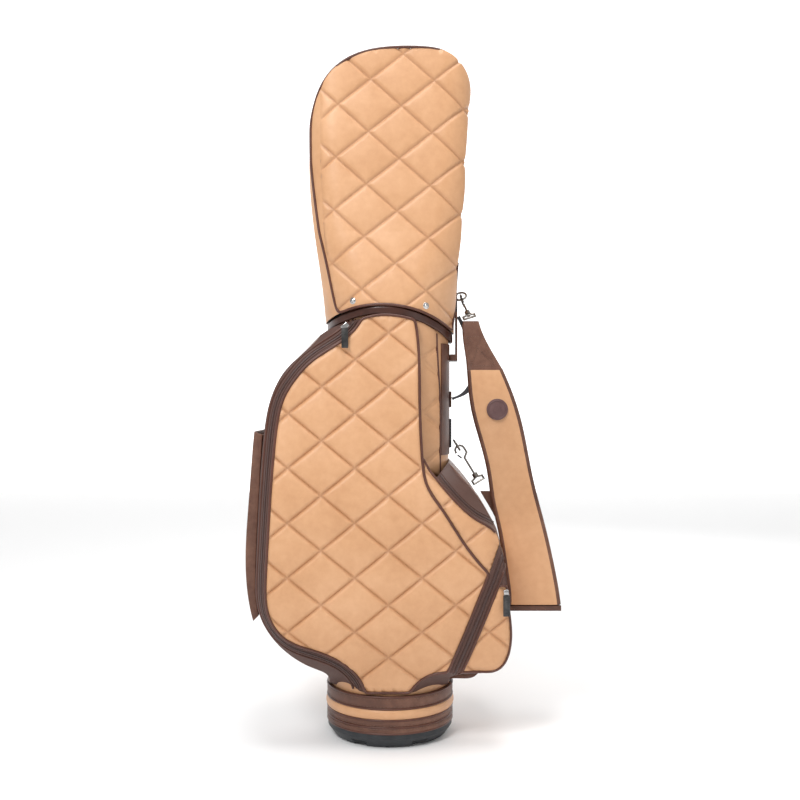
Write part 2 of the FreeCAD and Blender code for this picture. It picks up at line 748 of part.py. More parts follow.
def hook_side(ring, eye, face_on):
    """Direction in the hook's own plane, square to its length."""
    along = pull_way(ring, eye)
    side = along.cross(V(0, 1, 0))
    side.normalize()
    if not face_on:
        side = side.cross(along)
        side.normalize()
    return side


def make_strap_rings():
    """Two wire rings on leather tabs, one at the mouth and one above the ball pocket."""
    rings = []
    for ring, eye, face_on in ((UPPER_RING, UPPER_EYE, False), (LOWER_RING, LOWER_EYE, True)):
        side = hook_side(ring, eye, face_on)
        rings.append(Part.makeTorus(RING_RADIUS, size("ring_wire") / 2, V(*ring), side))
    sewn("strap_rings", Part.makeCompound(rings))
    upper = box_between((126.5, 26, 700), (129.5, 42, 832))
    upper = upper.fuse(box_between((102, 26, 700), (129.5, 42, 712)))
    reach = size("barrel_radius") + size("cover_thickness") + 2.2
    upper = upper.cut(Part.makeCylinder(reach, 900))
    lower = box_between((reach, -12, 536), (reach + 3, 12, 590))
    tabs = [tab.cut(shape_of("strap_rings")) for tab in (upper.removeSplitter(), lower)]
    sewn("ring_tabs", Part.makeCompound(tabs))


# ---------------------------------------------------------------- rain hood

HOOD_OUTLINE = [(-121, 772), (-127, 850), (-134, 900), (-142, 960), (-147, 1010), (-148, 1070),
                (-145, 1120), (-136, 1165), (-112, 1212), (-70, 1246), (-10, 1262), (45, 1264),
                (98, 1257), (130, 1238), (145, 1210), (147, 1177), (141, 1120), (138, 1060),
                (134, 980), (127, 900), (123, 850), (121, 762)]


def hood_block(inset):
    """The whole hood as one solid, drawn in by an inset."""
    middle = V(0, 0, 1000)
    points = []
    for x, z in HOOD_OUTLINE:
        away = V(x, 0, z) - middle
        pull = inset if z > 800 else inset * (1 if abs(x) > 100 else 0)
        side = V(away.x, 0, 0 if z < 1130 else away.z)
        if side.Length > 0:
            side.normalize()
        points.append(tuple(V(x, 0, z) - side * pull))
    base = [(points[-1][0], 0, 700), (points[0][0], 0, 700)]
    edges = [curve(points), line(points[-1], base[0]), line(base[0], base[1]),
             line(base[1], points[0])]
    side_view = Part.Face(Part.Wire(Part.__sortEdges__(edges)))
    side_view.translate(V(0, -200, 0))
    side_view = side_view.extrude(V(0, 400, 0))
    deep = size("hood_panel_depth")
    skirt = size("hood_skirt_radius")
    sections = []
    for level, across, depth, corner in ((690, 121, skirt, 0.99), (770, 121, skirt, 0.99),
                                         (840, 132, 112, 0.86), (930, 146, deep + 4, 0.7),
                                         (1060, 152, deep, 0.6), (1290, 154, deep - 3, 0.6)):
        sections.append(rounded_plan(level, across - inset, depth - inset, corner))
    column = Part.makeLoft(sections, True, True)
    return column.common(side_view)


def rounded_plan(level, across, depth, corner):
    """A plan section: a rectangle with round corners, from a circle to a soft oblong."""
    turn = min(across, depth) * corner
    flat_x = across - turn
    flat_y = depth - turn
    bend = turn * math.sqrt(0.5)
    edges = []
    for sx, sy in ((1, 1), (-1, 1), (-1, -1), (1, -1)):
        start = V(sx * across, sy * flat_y, level)
        middle = V(sx * (flat_x + bend), sy * (flat_y + bend), level)
        end = V(sx * flat_x, sy * depth, level)
        if sx * sy < 0:
            start, end = end, start
        edges.append(Part.Arc(start, middle, end).toShape())
    wire_edges = []
    for index, edge in enumerate(edges):
        after = edges[(index + 1) % 4]
        wire_edges.append(edge)
        tail = edge.valueAt(edge.LastParameter)
        head = after.valueAt(after.FirstParameter)
        wire_edges.append(Part.makeLine(tail, head))
    return Part.Wire(wire_edges)


def hood_lower_cut():
    """Everything below the hood's edge, which follows the mouth roll."""
    reach = size("mouth_arc_radius") + 2 * size("roll_radius") + size("hood_lift_gap")
    middle = V(size("mouth_arc_x"), -250, size("mouth_crest") - size("mouth_arc_radius"))
    disc = Part.makeCylinder(reach, 500, middle, V(0, 1, 0))
    below = box_between((-300, -300, 400), (300, 300, size("mouth_crest") - 60))
    return disc.fuse(below)


def make_hood():
    """Quilted rain hood: two side panels and the strip that joins them over the top."""
    outer = hood_block(0)
    inner = hood_block(size("hood_wall"))
    shell = outer.cut(inner).cut(hood_lower_cut())
    seam = V(-137, -88, 0)
    seam_turn = 12.42
    near_cut = Part.makeBox(900, 500, 900, seam + V(-300, -500, 600))
    near_cut.rotate(seam, V(0, 0, 1), seam_turn)
    far_cut = mirrored(near_cut)
    strip_part = shell.cut(near_cut).cut(far_cut)
    sewn("hood_near_panel", shell.common(near_cut))
    sewn("hood_far_panel", shell.common(far_cut))
    solids = sorted(strip_part.Solids, key=lambda solid: -solid.Volume)
    sewn("hood_gusset", solids[0])


SNAP_TURNS = ((-64, 1), (64, 1), (-64, -1), (64, -1))


def snap_places():
    """Where the hood's snaps sit round the mouth, with the outward direction."""
    places = []
    skirt = size("hood_skirt_radius")
    for x, sign in SNAP_TURNS:
        y = sign * math.sqrt(skirt ** 2 - x ** 2)
        out = V(x, y, 0)
        out.normalize()
        z = mouth_height(x, 2 * size("roll_radius") + size("hood_lift_gap") + 12)
        places.append((V(0, 0, z) + out * skirt, out))
    return places


def make_snaps():
    """Snap caps on the hood and the studs that they press on to."""
    caps = []
    studs = []
    collar_outer = collar_inner() + size("collar_wall")
    for place, out in snap_places():
        caps.append(Part.makeCylinder(size("cap_radius"), 3.4, place - out * 1.4, out))
        level = V(0, 0, place.z)
        start = level + out * (collar_outer - 0.8)
        end_reach = size("hood_skirt_radius") - size("hood_wall") - 2.6 - collar_outer + 0.8
        studs.append(Part.makeCylinder(5, end_reach, start, out))
    sewn("snap_caps", Part.makeCompound(caps))
    sewn("snap_studs", Part.makeCompound(studs))


# ---------------------------------------------------------------- shoulder strap

# Centre line of the strap as (X, Y, Z) with half of its width across X.
STRAP_LINE = [(152, -20, 774, 15), (154, -22, 757, 18), (165, -22, 720, 25), (178, -24, 682, 34),
              (192, -24, 626, 43), (202, -20, 588, 45), (217, -14, 530, 43), (236, -11, 435, 45),
              (250, -11, 378, 46), (261, -11, 321, 48), (268, -11, 280, 49), (272, -11, 240, 51)]
BACK_LINE = [(272, 1, 240, 50), (265, 1, 280, 42), (250, 1, 330, 28), (230, 1, 372, 18),
             (213, 1, 400, 12), (197, 1, 428, 11), (181, 0, 453, 10)]


def strap_layer(stations, half_thickness):
    """A flat layer of the strap lofted along its centre line."""
    sections = []
    for x, y, z, half in stations:
        sections.append([(x - half, y - half_thickness, z), (x + half, y - half_thickness, z),
                         (x + half, y + half_thickness, z), (x - half, y + half_thickness, z)])
    return strip(sections)


def make_strap():
    """Shoulder strap: leather end, padded body, back layer with its fold, and badge."""
    half = size("strap_thickness") / 2
    sewn("strap_upper_end", strap_layer(STRAP_LINE[:4], half - 2))
    sewn("strap_pad", strap_layer(STRAP_LINE[3:], half - 0.5))
    x, front, z, wide = STRAP_LINE[-1]
    low = z - 12
    fold = box_between((x - wide, front - half + 2, low), (x + wide, 4, low + 10))
    back = strap_layer(BACK_LINE, 3)
    tail = box_between((x - wide, -2, low + 8), (x + wide, 4, z))
    whole = fold.fuse(tail).fuse(back).removeSplitter()
    sewn("strap_back_end", trimmed(whole, "strap_pad"))
    badge = Part.makeCylinder(size("badge_radius"), 8, V(201, -24, 608), V(0, -1, 0))
    sewn("strap_badge", trimmed(badge, "strap_pad"))


def make_hook(name, ring, eye, face_on):
    """A snap hook through a ring, with its swivel and loop, and its sprung gate."""
    wire = size("hook_wire") / 2
    along = pull_way(ring, eye)
    side = hook_side(ring, eye, face_on)
    bow = 9
    start = V(*ring) + along * RING_RADIUS
    reach = (V(*eye) - V(*ring)).Length
    shank = reach - RING_RADIUS - 21
    points = [start + along * 2 - side * bow]
    for step in range(7):
        angle = math.radians(180 * step / 6)
        points.append(start - along * (bow * math.sin(angle)) - side * (bow * math.cos(angle)))
    points += [start + along * 10 + side * bow, start + along * 17, start + along * shank]
    hook = tube_along([tuple(point) for point in points], wire)
    hook = hook.fuse(Part.makeCylinder(5.5, 8, start + along * (shank - 1), along))
    loop_side = along.cross(V(0, 1, 0))
    loop_side.normalize()
    neck = start + along * (shank + 7)
    wide = loop_side * 11
    corners = [neck, neck + along * 3 - wide, neck + along * 10 - wide, neck + along * 10 + wide,
               neck + along * 3 + wide, neck]
    hook = hook.fuse(tube_along([tuple(corner) for corner in corners], wire))
    sewn(name, hook)
    tip = start + along * 5.6 - side * (bow - 0.4)
    root = start + along * 15 - side * 5
    gate = Part.makeCylinder(1.5, (root - tip).Length, tip, root - tip)
    sewn(name.replace("hook", "gate"), gate)


# ---------------------------------------------------------------- zip pulls

MAIN_ZIP_PLACE = (-79, -119.6, 757)
MAIN_ZIP_WAY = (-0.77, -0.04, -0.64)
BALL_ZIP_PLACE = (205, -152.0, 287)
BALL_ZIP_WAY = (-0.115, 0, 0.993)
PULL_GAP = 1.2


def make_zip(name, place, way):
    """A zip slider in its rest place with the pull that hangs from it, on both sides."""
    wide = size("slider_width")
    tall = size("slider_length")
    deep = size("slider_height")
    slider = box_between((-wide / 2, -deep, -tall / 2), (wide / 2, 0, tall / 2))
    slider.rotate(V(0, 0, 0), V(0, 1, 0), math.degrees(math.atan2(way[0], way[2])))
    slider.translate(V(*place))
    half = size("pull_width") / 2
    front = place[1] - deep - PULL_GAP
    top = place[2] - 2
    pull = box_between((place[0] - half, front - size("pull_thickness"), top - size("pull_length")),
                       (place[0] + half, front, top))
    both_sides(name + "_slider", slider)
    both_sides(name + "_pull", pull)


def make_zip_pulls():
    """Sliders and pulls of the two zips on each side."""
    make_zip("main_zip", MAIN_ZIP_PLACE, MAIN_ZIP_WAY)
    make_zip("ball_zip", BALL_ZIP_PLACE, BALL_ZIP_WAY)


# ---------------------------------------------------------------- build and export

make_base_moulding()
make_foot_pads()
make_base_bands()
make_barrel()
make_bottom_board()
make_barrel_cover()
make_spine_strip()
make_mouth_roll()
make_mouth_collar()
make_dividers()
make_divider_top()
make_front_wall()
make_front_pouch()
make_front_zip_tapes()
make_side_faces()
make_shoulder_faces()
make_corner_faces()
make_slanted_zip_tapes()
make_rear_side()
make_pocket_walls()
make_carry_handle()
make_strap_rings()
make_hood()
make_snaps()
make_strap()
make_hook("upper_hook", UPPER_RING, UPPER_EYE, False)
make_hook("lower_hook", LOWER_RING, LOWER_EYE, True)
make_zip_pulls()

doc.recompute()
for item in doc.Objects:
    if "Invalid" in item.State or "Error" in item.State:
        raise RuntimeError("%s did not build: %s" % (item.Label, item.State))
for piece in PIECES:
    if piece.Shape.isNull() or not piece.Shape.isValid():
        raise RuntimeError("%s has no valid shape" % piece.Label)

os.makedirs("parts", exist_ok=True)
for piece in PIECES:
    piece.Shape.exportStep(os.path.join("parts", piece.Label + ".step"))
    print("%-24s %10.0f mm3  solids %d" % (piece.Label, piece.Shape.Volume,
                                           len(piece.Shape.Solids)))
print(len(PIECES), "pieces")
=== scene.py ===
import math
import bmesh
import bpy
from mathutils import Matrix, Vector
from mathutils.bvhtree import BVHTree
from mathutils.kdtree import KDTree


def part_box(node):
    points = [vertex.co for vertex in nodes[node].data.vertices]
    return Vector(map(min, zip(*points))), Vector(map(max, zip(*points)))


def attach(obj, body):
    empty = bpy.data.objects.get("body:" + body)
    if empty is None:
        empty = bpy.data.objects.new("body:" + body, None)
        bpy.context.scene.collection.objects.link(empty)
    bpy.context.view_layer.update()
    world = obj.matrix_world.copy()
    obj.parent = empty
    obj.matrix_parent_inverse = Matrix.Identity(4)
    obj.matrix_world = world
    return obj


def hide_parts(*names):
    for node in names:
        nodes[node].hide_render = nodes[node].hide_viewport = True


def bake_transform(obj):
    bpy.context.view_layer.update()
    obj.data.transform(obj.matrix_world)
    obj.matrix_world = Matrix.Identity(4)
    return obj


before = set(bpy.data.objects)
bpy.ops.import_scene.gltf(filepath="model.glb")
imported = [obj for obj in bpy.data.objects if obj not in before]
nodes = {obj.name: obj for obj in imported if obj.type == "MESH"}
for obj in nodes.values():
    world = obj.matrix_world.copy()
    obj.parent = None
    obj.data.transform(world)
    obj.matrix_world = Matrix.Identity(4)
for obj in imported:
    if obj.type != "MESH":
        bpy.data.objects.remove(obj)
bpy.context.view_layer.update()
bpy.ops.object.select_all(action="DESELECT")
MM = 0.001


# ---- Leathers ----------------------------------------------------------------
# Soft coated hide, fine pebbled grain with a faint drift of colour and a low
# sheen: tan on the quilted faces, hood, barrel and strap, browns on the trim.

def node_at(tree, kind, **inputs):
    """One shader node, with values for its inputs by name."""
    made = tree.nodes.new(kind)
    for name, value in inputs.items():
        made.inputs[name.replace("_", " ")].default_value = value
    return made


def leather(name, deep, main, pale, rough, grain_mm=0.9, grain_depth=0.35, sheen=0.15):
    """Grained leather whose colour drifts between three tones, with painted groove shade."""
    mat = bpy.data.materials.new(name)
    mat.use_nodes = True
    tree = mat.node_tree
    shader = tree.nodes["Principled BSDF"]
    place = tree.nodes.new("ShaderNodeTexCoord")
    drift = node_at(tree, "ShaderNodeTexNoise", Scale=7.0, Detail=4.0, Roughness=0.6)
    mottle = node_at(tree, "ShaderNodeTexNoise", Scale=70.0, Detail=6.0, Roughness=0.65)
    tones = tree.nodes.new("ShaderNodeValToRGB")
    tones.color_ramp.elements[0].position = 0.3
    tones.color_ramp.elements[0].color = (*deep, 1)
    tones.color_ramp.elements[1].position = 0.72
    tones.color_ramp.elements[1].color = (*pale, 1)
    middle = tones.color_ramp.elements.new(0.5)
    middle.color = (*main, 1)
    blend = tree.nodes.new("ShaderNodeMath")
    blend.operation = "MULTIPLY_ADD"
    blend.inputs[1].default_value = 0.35
    pores = node_at(tree, "ShaderNodeTexVoronoi", Scale=1000.0 / grain_mm)
    pores.feature = "F1"
    creases = node_at(tree, "ShaderNodeTexNoise", Scale=260.0, Detail=5.0, Roughness=0.7)
    bump_one = node_at(tree, "ShaderNodeBump", Strength=grain_depth, Distance=0.00025)
    bump_two = node_at(tree, "ShaderNodeBump", Strength=grain_depth * 0.7, Distance=0.0005)
    shine = tree.nodes.new("ShaderNodeMapRange")
    shine.inputs["To Min"].default_value = rough - 0.07
    shine.inputs["To Max"].default_value = rough + 0.09
    link = tree.links.new
    for texture in (drift, mottle, pores, creases):
        link(place.outputs["Object"], texture.inputs["Vector"])
    link(mottle.outputs["Fac"], blend.inputs[0])
    half = tree.nodes.new("ShaderNodeMath")
    half.operation = "MULTIPLY"
    half.inputs[1].default_value = 0.65
    link(drift.outputs["Fac"], half.inputs[0])
    link(half.outputs[0], blend.inputs[2])
    link(blend.outputs[0], tones.inputs["Fac"])
    # Painted shade: the groove attribute mixes the colour towards a darker brown in the quilt
    # grooves and along the seams.
    groove_shade = tree.nodes.new("ShaderNodeAttribute")
    groove_shade.attribute_name = "groove"
    shadow = tree.nodes.new("ShaderNodeMix")
    shadow.data_type = "RGBA"
    shadow.inputs[7].default_value = (deep[0] * 0.55, deep[1] * 0.42, deep[2] * 0.34, 1)
    link(groove_shade.outputs["Fac"], shadow.inputs[0])
    link(tones.outputs["Color"], shadow.inputs[6])
    link(shadow.outputs[2], shader.inputs["Base Color"])
    link(pores.outputs["Distance"], bump_one.inputs["Height"])
    link(creases.outputs["Fac"], bump_two.inputs["Height"])
    link(bump_one.outputs["Normal"], bump_two.inputs["Normal"])
    link(bump_two.outputs["Normal"], shader.inputs["Normal"])
    link(mottle.outputs["Fac"], shine.inputs["Value"])
    link(shine.outputs["Result"], shader.inputs["Roughness"])
    shader.inputs["Sheen Weight"].default_value = sheen
    shader.inputs["Sheen Roughness"].default_value = 0.4
    shader.inputs["Specular IOR Level"].default_value = 0.5
    return mat


tan = leather("tan leather", (0.54, 0.275, 0.130), (0.62, 0.335, 0.170), (0.70, 0.400, 0.220),
              0.42, sheen=0.05)
brown = leather("brown leather", (0.042, 0.014, 0.008), (0.115, 0.045, 0.026),
                (0.230, 0.110, 0.068), 0.46, 1.4, 0.6, 0.0)
roll_brown = leather("roll leather", (0.030, 0.009, 0.005), (0.052, 0.015, 0.008),
                     (0.085, 0.028, 0.016), 0.30, 1.0, 0.25, 0.0)
piping_brown = leather("piping leather", (0.055, 0.018, 0.010), (0.090, 0.030, 0.018),
                       (0.130, 0.048, 0.030), 0.36, 0.8, 0.25, 0.0)
badge_brown = leather("badge leather", (0.075, 0.035, 0.035), (0.120, 0.060, 0.058),
                      (0.170, 0.095, 0.090), 0.42, 1.0, 0.5, 0.0)


# ---- Zip tape and lining ------------------------------------------------------
# Woven polyester with fine ribs both ways and a little fuzz of colour. The tape
# is sewn along the seams, the lining and webbing are matt and darker.

def woven(name, deep, pale, rough, pitch_mm):
    """Woven cloth with fine ribs both ways."""
    mat = bpy.data.materials.new(name)
    mat.use_nodes = True
    tree = mat.node_tree
    shader = tree.nodes["Principled BSDF"]
    place = tree.nodes.new("ShaderNodeTexCoord")
    link = tree.links.new
    heights = []
    for turn in ("X", "Z"):
        wave = node_at(tree, "ShaderNodeTexWave", Scale=1000.0 / pitch_mm / 20 * 3.2)
        wave.bands_direction = turn
        wave.inputs["Distortion"].default_value = 0.6
        link(place.outputs["Object"], wave.inputs["Vector"])
        heights.append(wave)
    cross = tree.nodes.new("ShaderNodeMath")
    cross.operation = "MULTIPLY"
    link(heights[0].outputs["Fac"], cross.inputs[0])
    link(heights[1].outputs["Fac"], cross.inputs[1])
    fuzz = node_at(tree, "ShaderNodeTexNoise", Scale=900.0, Detail=3.0)
    link(place.outputs["Object"], fuzz.inputs["Vector"])
    tones = tree.nodes.new("ShaderNodeValToRGB")
    tones.color_ramp.elements[0].color = (*deep, 1)
    tones.color_ramp.elements[1].color = (*pale, 1)
    link(fuzz.outputs["Fac"], tones.inputs["Fac"])
    link(tones.outputs["Color"], shader.inputs["Base Color"])
    bump = node_at(tree, "ShaderNodeBump", Strength=0.5, Distance=0.0003)
    link(cross.outputs[0], bump.inputs["Height"])
    link(bump.outputs["Normal"], shader.inputs["Normal"])
    shader.inputs["Roughness"].default_value = rough
    shader.inputs["Sheen Weight"].default_value = 0.05
    return mat


tape_cloth = woven("zip tape cloth", (0.055, 0.022, 0.016), (0.115, 0.052, 0.038), 0.62, 1.1)
lining_cloth = woven("lining cloth", (0.030, 0.032, 0.036), (0.075, 0.078, 0.085), 0.8, 1.4)
web_cloth = woven("webbing cloth", (0.022, 0.022, 0.027), (0.075, 0.074, 0.082), 0.7, 2.2)


# ---- Moulded plastic and metal ------------------------------------------------
# Spark-eroded black plastic for the foot; nickel plate and black nickel for
# the hooks, rings, snaps and zip pieces.

def moulded(name, deep, pale, rough, grain_mm=0.7, metal=0.0, depth=0.3):
    """Cast or moulded surface with a fine texture and a little smudging."""
    mat = bpy.data.materials.new(name)
    mat.use_nodes = True
    tree = mat.node_tree
    shader = tree.nodes["Principled BSDF"]
    place = tree.nodes.new("ShaderNodeTexCoord")
    smudge = node_at(tree, "ShaderNodeTexNoise", Scale=45.0, Detail=5.0, Roughness=0.6)
    grain = node_at(tree, "ShaderNodeTexNoise", Scale=1000.0 / grain_mm, Detail=2.0)
    tones = tree.nodes.new("ShaderNodeValToRGB")
    tones.color_ramp.elements[0].position = 0.35
    tones.color_ramp.elements[0].color = (*deep, 1)
    tones.color_ramp.elements[1].position = 0.7
    tones.color_ramp.elements[1].color = (*pale, 1)
    shine = tree.nodes.new("ShaderNodeMapRange")
    shine.inputs["To Min"].default_value = max(rough - 0.08, 0.05)
    shine.inputs["To Max"].default_value = rough + 0.1
    bump = node_at(tree, "ShaderNodeBump", Strength=depth, Distance=0.0002)
    link = tree.links.new
    for texture in (smudge, grain):
        link(place.outputs["Object"], texture.inputs["Vector"])
    link(smudge.outputs["Fac"], tones.inputs["Fac"])
    link(smudge.outputs["Fac"], shine.inputs["Value"])
    link(tones.outputs["Color"], shader.inputs["Base Color"])
    link(shine.outputs["Result"], shader.inputs["Roughness"])
    link(grain.outputs["Fac"], bump.inputs["Height"])
    link(bump.outputs["Normal"], shader.inputs["Normal"])
    shader.inputs["Metallic"].default_value = metal
    return mat


black_plastic = moulded("black plastic", (0.012, 0.014, 0.017), (0.028, 0.032, 0.037), 0.48)
grey_plastic = moulded("grey plastic", (0.05, 0.05, 0.055), (0.09, 0.09, 0.095), 0.5)
rubber = moulded("foot rubber", (0.012, 0.012, 0.013), (0.025, 0.025, 0.027), 0.75)
nickel = moulded("nickel plate", (0.16, 0.145, 0.13), (0.36, 0.33, 0.30), 0.27, 2.0, 1.0, 0.05)
black_nickel = moulded("black nickel", (0.05, 0.05, 0.052), (0.13, 0.125, 0.12), 0.30, 1.5, 1.0,
                       0.1)


# ---- Plain pieces -------------------------------------------------------------
# The foot cup, barrel, inner walls, zip tapes, collar and metal fittings keep
# their designed shape: each is given the finish of what it is made from.

def coat(names, mat):
    """Gives designed nodes their finish."""
    for name in names:
        mesh = nodes[name].data
        mesh.materials.clear()
        mesh.materials.append(mat)


coat(["base_moulding", "mouth_collar"], black_plastic)
coat(["foot_pads"], rubber)
coat(["barrel", "bottom_board"], grey_plastic)
coat(["barrel_cover", "rear_wall", "pocket_floor", "hood_gusset"], tan)
coat(["spine_strip", "front_wall", "accessory_cover"], brown)
coat(["mouth_roll"], roll_brown)
coat(["cross_dividers", "spine_dividers", "divider_top", "pocket_linings"], lining_cloth)
coat(["snap_studs", "strap_rings", "upper_hook", "lower_hook"], nickel)
coat(["upper_gate", "lower_gate"], black_nickel)
coat([name for name in nodes if name.endswith("tape")], tape_cloth)


# ---- Quilting -----------------------------------------------------------------
# Tan leather welded over foam in diamonds: flat-topped pillows between soft
# grooves. The lattice is one grid per face, in mm across and up the bag.

QUILT = {"start": Vector((-60.5, 601.2)) * MM, "rise": Vector((59.3, 48.1)) * MM,
         "fall": Vector((59.3, -48.1)) * MM}
HOOD_QUILT = {"start": Vector((-38.0, 1112.0)) * MM, "rise": Vector((59.6, 46.6)) * MM,
              "fall": Vector((55.8, -49.2)) * MM}
GROOVE_CUTS = (0.0, 1.7, -1.7, 3.6, -3.6, 7.0, -7.0, 14.0, -14.0, 25.0, -25.0, 37.0)
GROOVE_HALF = 5.5 * MM
GROOVE_DEPTH = 3.4 * MM
PILLOW = 3.0 * MM
SHADE_WIDTH = 3.4 * MM       # how far the painted shade runs either side of a groove
RIM_FADE = 9 * MM            # the pillows die away over this much beside a seam
RIM_DROP = 1.6 * MM          # and the leather sinks this far at the seam itself
GRID_ACROSS = 0.017          # spare edges that let the leather follow a curve
GRID_UP = 0.013
WELD = 0.00003
PATH_STEP = 0.004            # spacing of points along pipings and seams


def copy_mesh(names):
    """A loose copy of nodes in one editable mesh, its doubles merged."""
    made = bmesh.new()
    for name in names:
        made.from_mesh(nodes[name].data)
    bmesh.ops.remove_doubles(made, verts=made.verts, dist=0.00002)
    made.normal_update()
    return made


def outer_skin(names, keep):
    """Only the faces of nodes that keep() accepts, from their centre and normal."""
    made = copy_mesh(names)
    drop = [face for face in made.faces if not keep(face.calc_center_median(), face.normal)]
    bmesh.ops.delete(made, geom=drop, context="FACES")
    return made


def rim_segments(skin):
    """The open edges of a skin as pairs of points."""
    return [(edge.verts[0].co.copy(), edge.verts[1].co.copy())
            for edge in skin.edges if edge.is_boundary]


def chain(segments):
    """Segments put in order, end to end, as one closed loop of points."""
    loop = list(segments[0])
    rest = segments[1:]
    while rest:
        end = loop[-1]
        best = min(range(len(rest)),
                   key=lambda k: min((rest[k][0] - end).length, (rest[k][1] - end).length))
        first, second = rest.pop(best)
        if (second - end).length < (first - end).length:
            first, second = second, first
        if (first - end).length > 0.03:
            break
        if (first - end).length > 0.0001:
            loop.append(first)
        loop.append(second)
    return loop


def groove_distance(x, z, quilt):
    """How far a place is from its nearest groove, and how high its pillow stands."""
    rise = quilt["rise"]
    fall = quilt["fall"]
    away = Vector((x, z)) - quilt["start"]
    whole = rise.x * fall.y - rise.y * fall.x
    a = (away.x * fall.y - away.y * fall.x) / whole
    b = (rise.x * away.y - rise.y * away.x) / whole
    across_a = abs(a - round(a)) * abs(whole) / fall.length
    across_b = abs(b - round(b)) * abs(whole) / rise.length
    crown = abs(math.sin(math.pi * a) * math.sin(math.pi * b))
    return min(across_a, across_b), crown ** 0.6


def cut_grooves(skin, quilt):
    """Edges along every groove and beside it, so that the relief has its own vertices."""
    low = Vector((min(v.co.x for v in skin.verts), min(v.co.z for v in skin.verts)))
    high = Vector((max(v.co.x for v in skin.verts), max(v.co.z for v in skin.verts)))
    for along, step in ((quilt["rise"], quilt["fall"]), (quilt["fall"], quilt["rise"])):
        normal = Vector((-along.y, along.x)).normalized()
        corners = [Vector((x, z)) for x in (low.x, high.x) for z in (low.y, high.y)]
        reach = [(corner - quilt["start"]).dot(normal) for corner in corners]
        pitch = abs(step.dot(normal))
        for line in range(int(min(reach) / pitch) - 1, int(max(reach) / pitch) + 2):
            for offset in GROOVE_CUTS:
                place = quilt["start"] + normal * (line * pitch + offset * MM)
                bmesh.ops.bisect_plane(
                    skin, geom=skin.verts[:] + skin.edges[:] + skin.faces[:], dist=WELD,
                    plane_co=(place.x, 0, place.y), plane_no=(normal.x, 0, normal.y))
    for axis, step, first, last in ((0, GRID_ACROSS, low.x, high.x),
                                    (2, GRID_UP, low.y, high.y)):
        for count in range(1, int((last - first) / step)):
            place = [0, 0, 0]
            place[axis] = first + step * count
            way = [0, 0, 0]
            way[axis] = 1
            bmesh.ops.bisect_plane(
                skin, geom=skin.verts[:] + skin.edges[:] + skin.faces[:], dist=WELD,
                plane_co=place, plane_no=way)


def near_out(_place):
    """Outward direction of the flat side faces, the same everywhere."""
    return Vector((0, -1, 0))


def barrel_out(place):
    """Outward direction of the round barrel."""
    return Vector((place.x, place.y, 0)).normalized()


def hood_out(place):
    """Outward direction of the hood, from a soft core inside it."""
    core = Vector((min(max(place.x, -0.075), 0.075), min(max(place.y, -0.025), 0.025),
                   min(place.z, 1.19)))
    return (place - core).normalized()


def raise_pillows(skin, quilt, rim, outward, edge_drop=RIM_DROP, height=1.0):
    """Moves a skin's vertices outwards into pillows, grooves and a low rim."""
    samples = []
    for start, end in rim:
        count = int((end - start).length / (1.2 * MM)) + 1
        samples += [start.lerp(end, k / count) for k in range(count + 1)]
    rim_tree = KDTree(len(samples))
    for index, place in enumerate(samples):
        rim_tree.insert(place, index)
    rim_tree.balance()
    shade = skin.verts.layers.float.get("groove") or skin.verts.layers.float.new("groove")
    moves = []
    for vert in skin.verts:
        near, crown = groove_distance(vert.co.x, vert.co.z, quilt)
        ease = min(near / GROOVE_HALF, 1.0)
        ease = ease * ease * (3 - 2 * ease)
        lift = height * (PILLOW * crown - GROOVE_DEPTH * (1 - ease))
        gap = rim_tree.find(vert.co)[2]
        fade = min(gap / RIM_FADE, 1.0)
        fade = math.sin(fade * math.pi / 2)
        lift = lift * fade - edge_drop * (1 - fade)
        # Painted shade: the groove value darkens the leather in the grooves and a little along
        # the seams, where shade falls.
        vert[shade] = 0.42 * max(1 - near / SHADE_WIDTH, 0) * fade + 0.12 * (1 - fade)
        moves.append((vert, outward(vert.co) * lift))
    for vert, move in moves:
        vert.co += move


def give_wall(made, outward, thickness):
    """Turns an outer skin into a closed sheet with a back and rims."""
    rims = [edge for edge in made.edges if edge.is_boundary]
    pairs = [(edge.link_loops[0].vert, edge.link_loops[0].link_loop_next.vert) for edge in rims]
    skin_faces = list(made.faces)
    twins = {vert: made.verts.new(vert.co - outward(vert.co) * thickness)
             for vert in list(made.verts)}
    for face in skin_faces:
        made.faces.new([twins[vert] for vert in reversed(face.verts)])
    for first, second in pairs:
        made.faces.new((second, first, twins[first], twins[second]))


def finish_mesh(name, made, mat):
    """An object from an edited closed mesh, given its finish."""
    bmesh.ops.recalc_face_normals(made, faces=made.faces)
    mesh = bpy.data.meshes.new(name)
    made.to_mesh(mesh)
    made.free()
    piece = bpy.data.objects.new(name, mesh)
    bpy.context.scene.collection.objects.link(piece)
    mesh.materials.append(mat)
    for face in mesh.polygons:
        face.use_smooth = True
    mesh.set_sharp_from_angle(angle=math.radians(60))
    return piece


def far_copy(piece, name):
    """The far side's twin of a near-side piece, with its own mesh."""
    made = bmesh.new()
    made.from_mesh(piece.data)
    for vert in made.verts:
        vert.co.y = -vert.co.y
    bmesh.ops.reverse_faces(made, faces=made.faces)
    mesh = bpy.data.meshes.new(name)
    made.to_mesh(mesh)
    made.free()
    for mat in piece.data.materials:
        mesh.materials.append(mat)
    twin = bpy.data.objects.new(name, mesh)
    bpy.context.scene.collection.objects.link(twin)
    piece_slots[name] = piece_slots[piece.name]
    return twin


piece_slots = {}


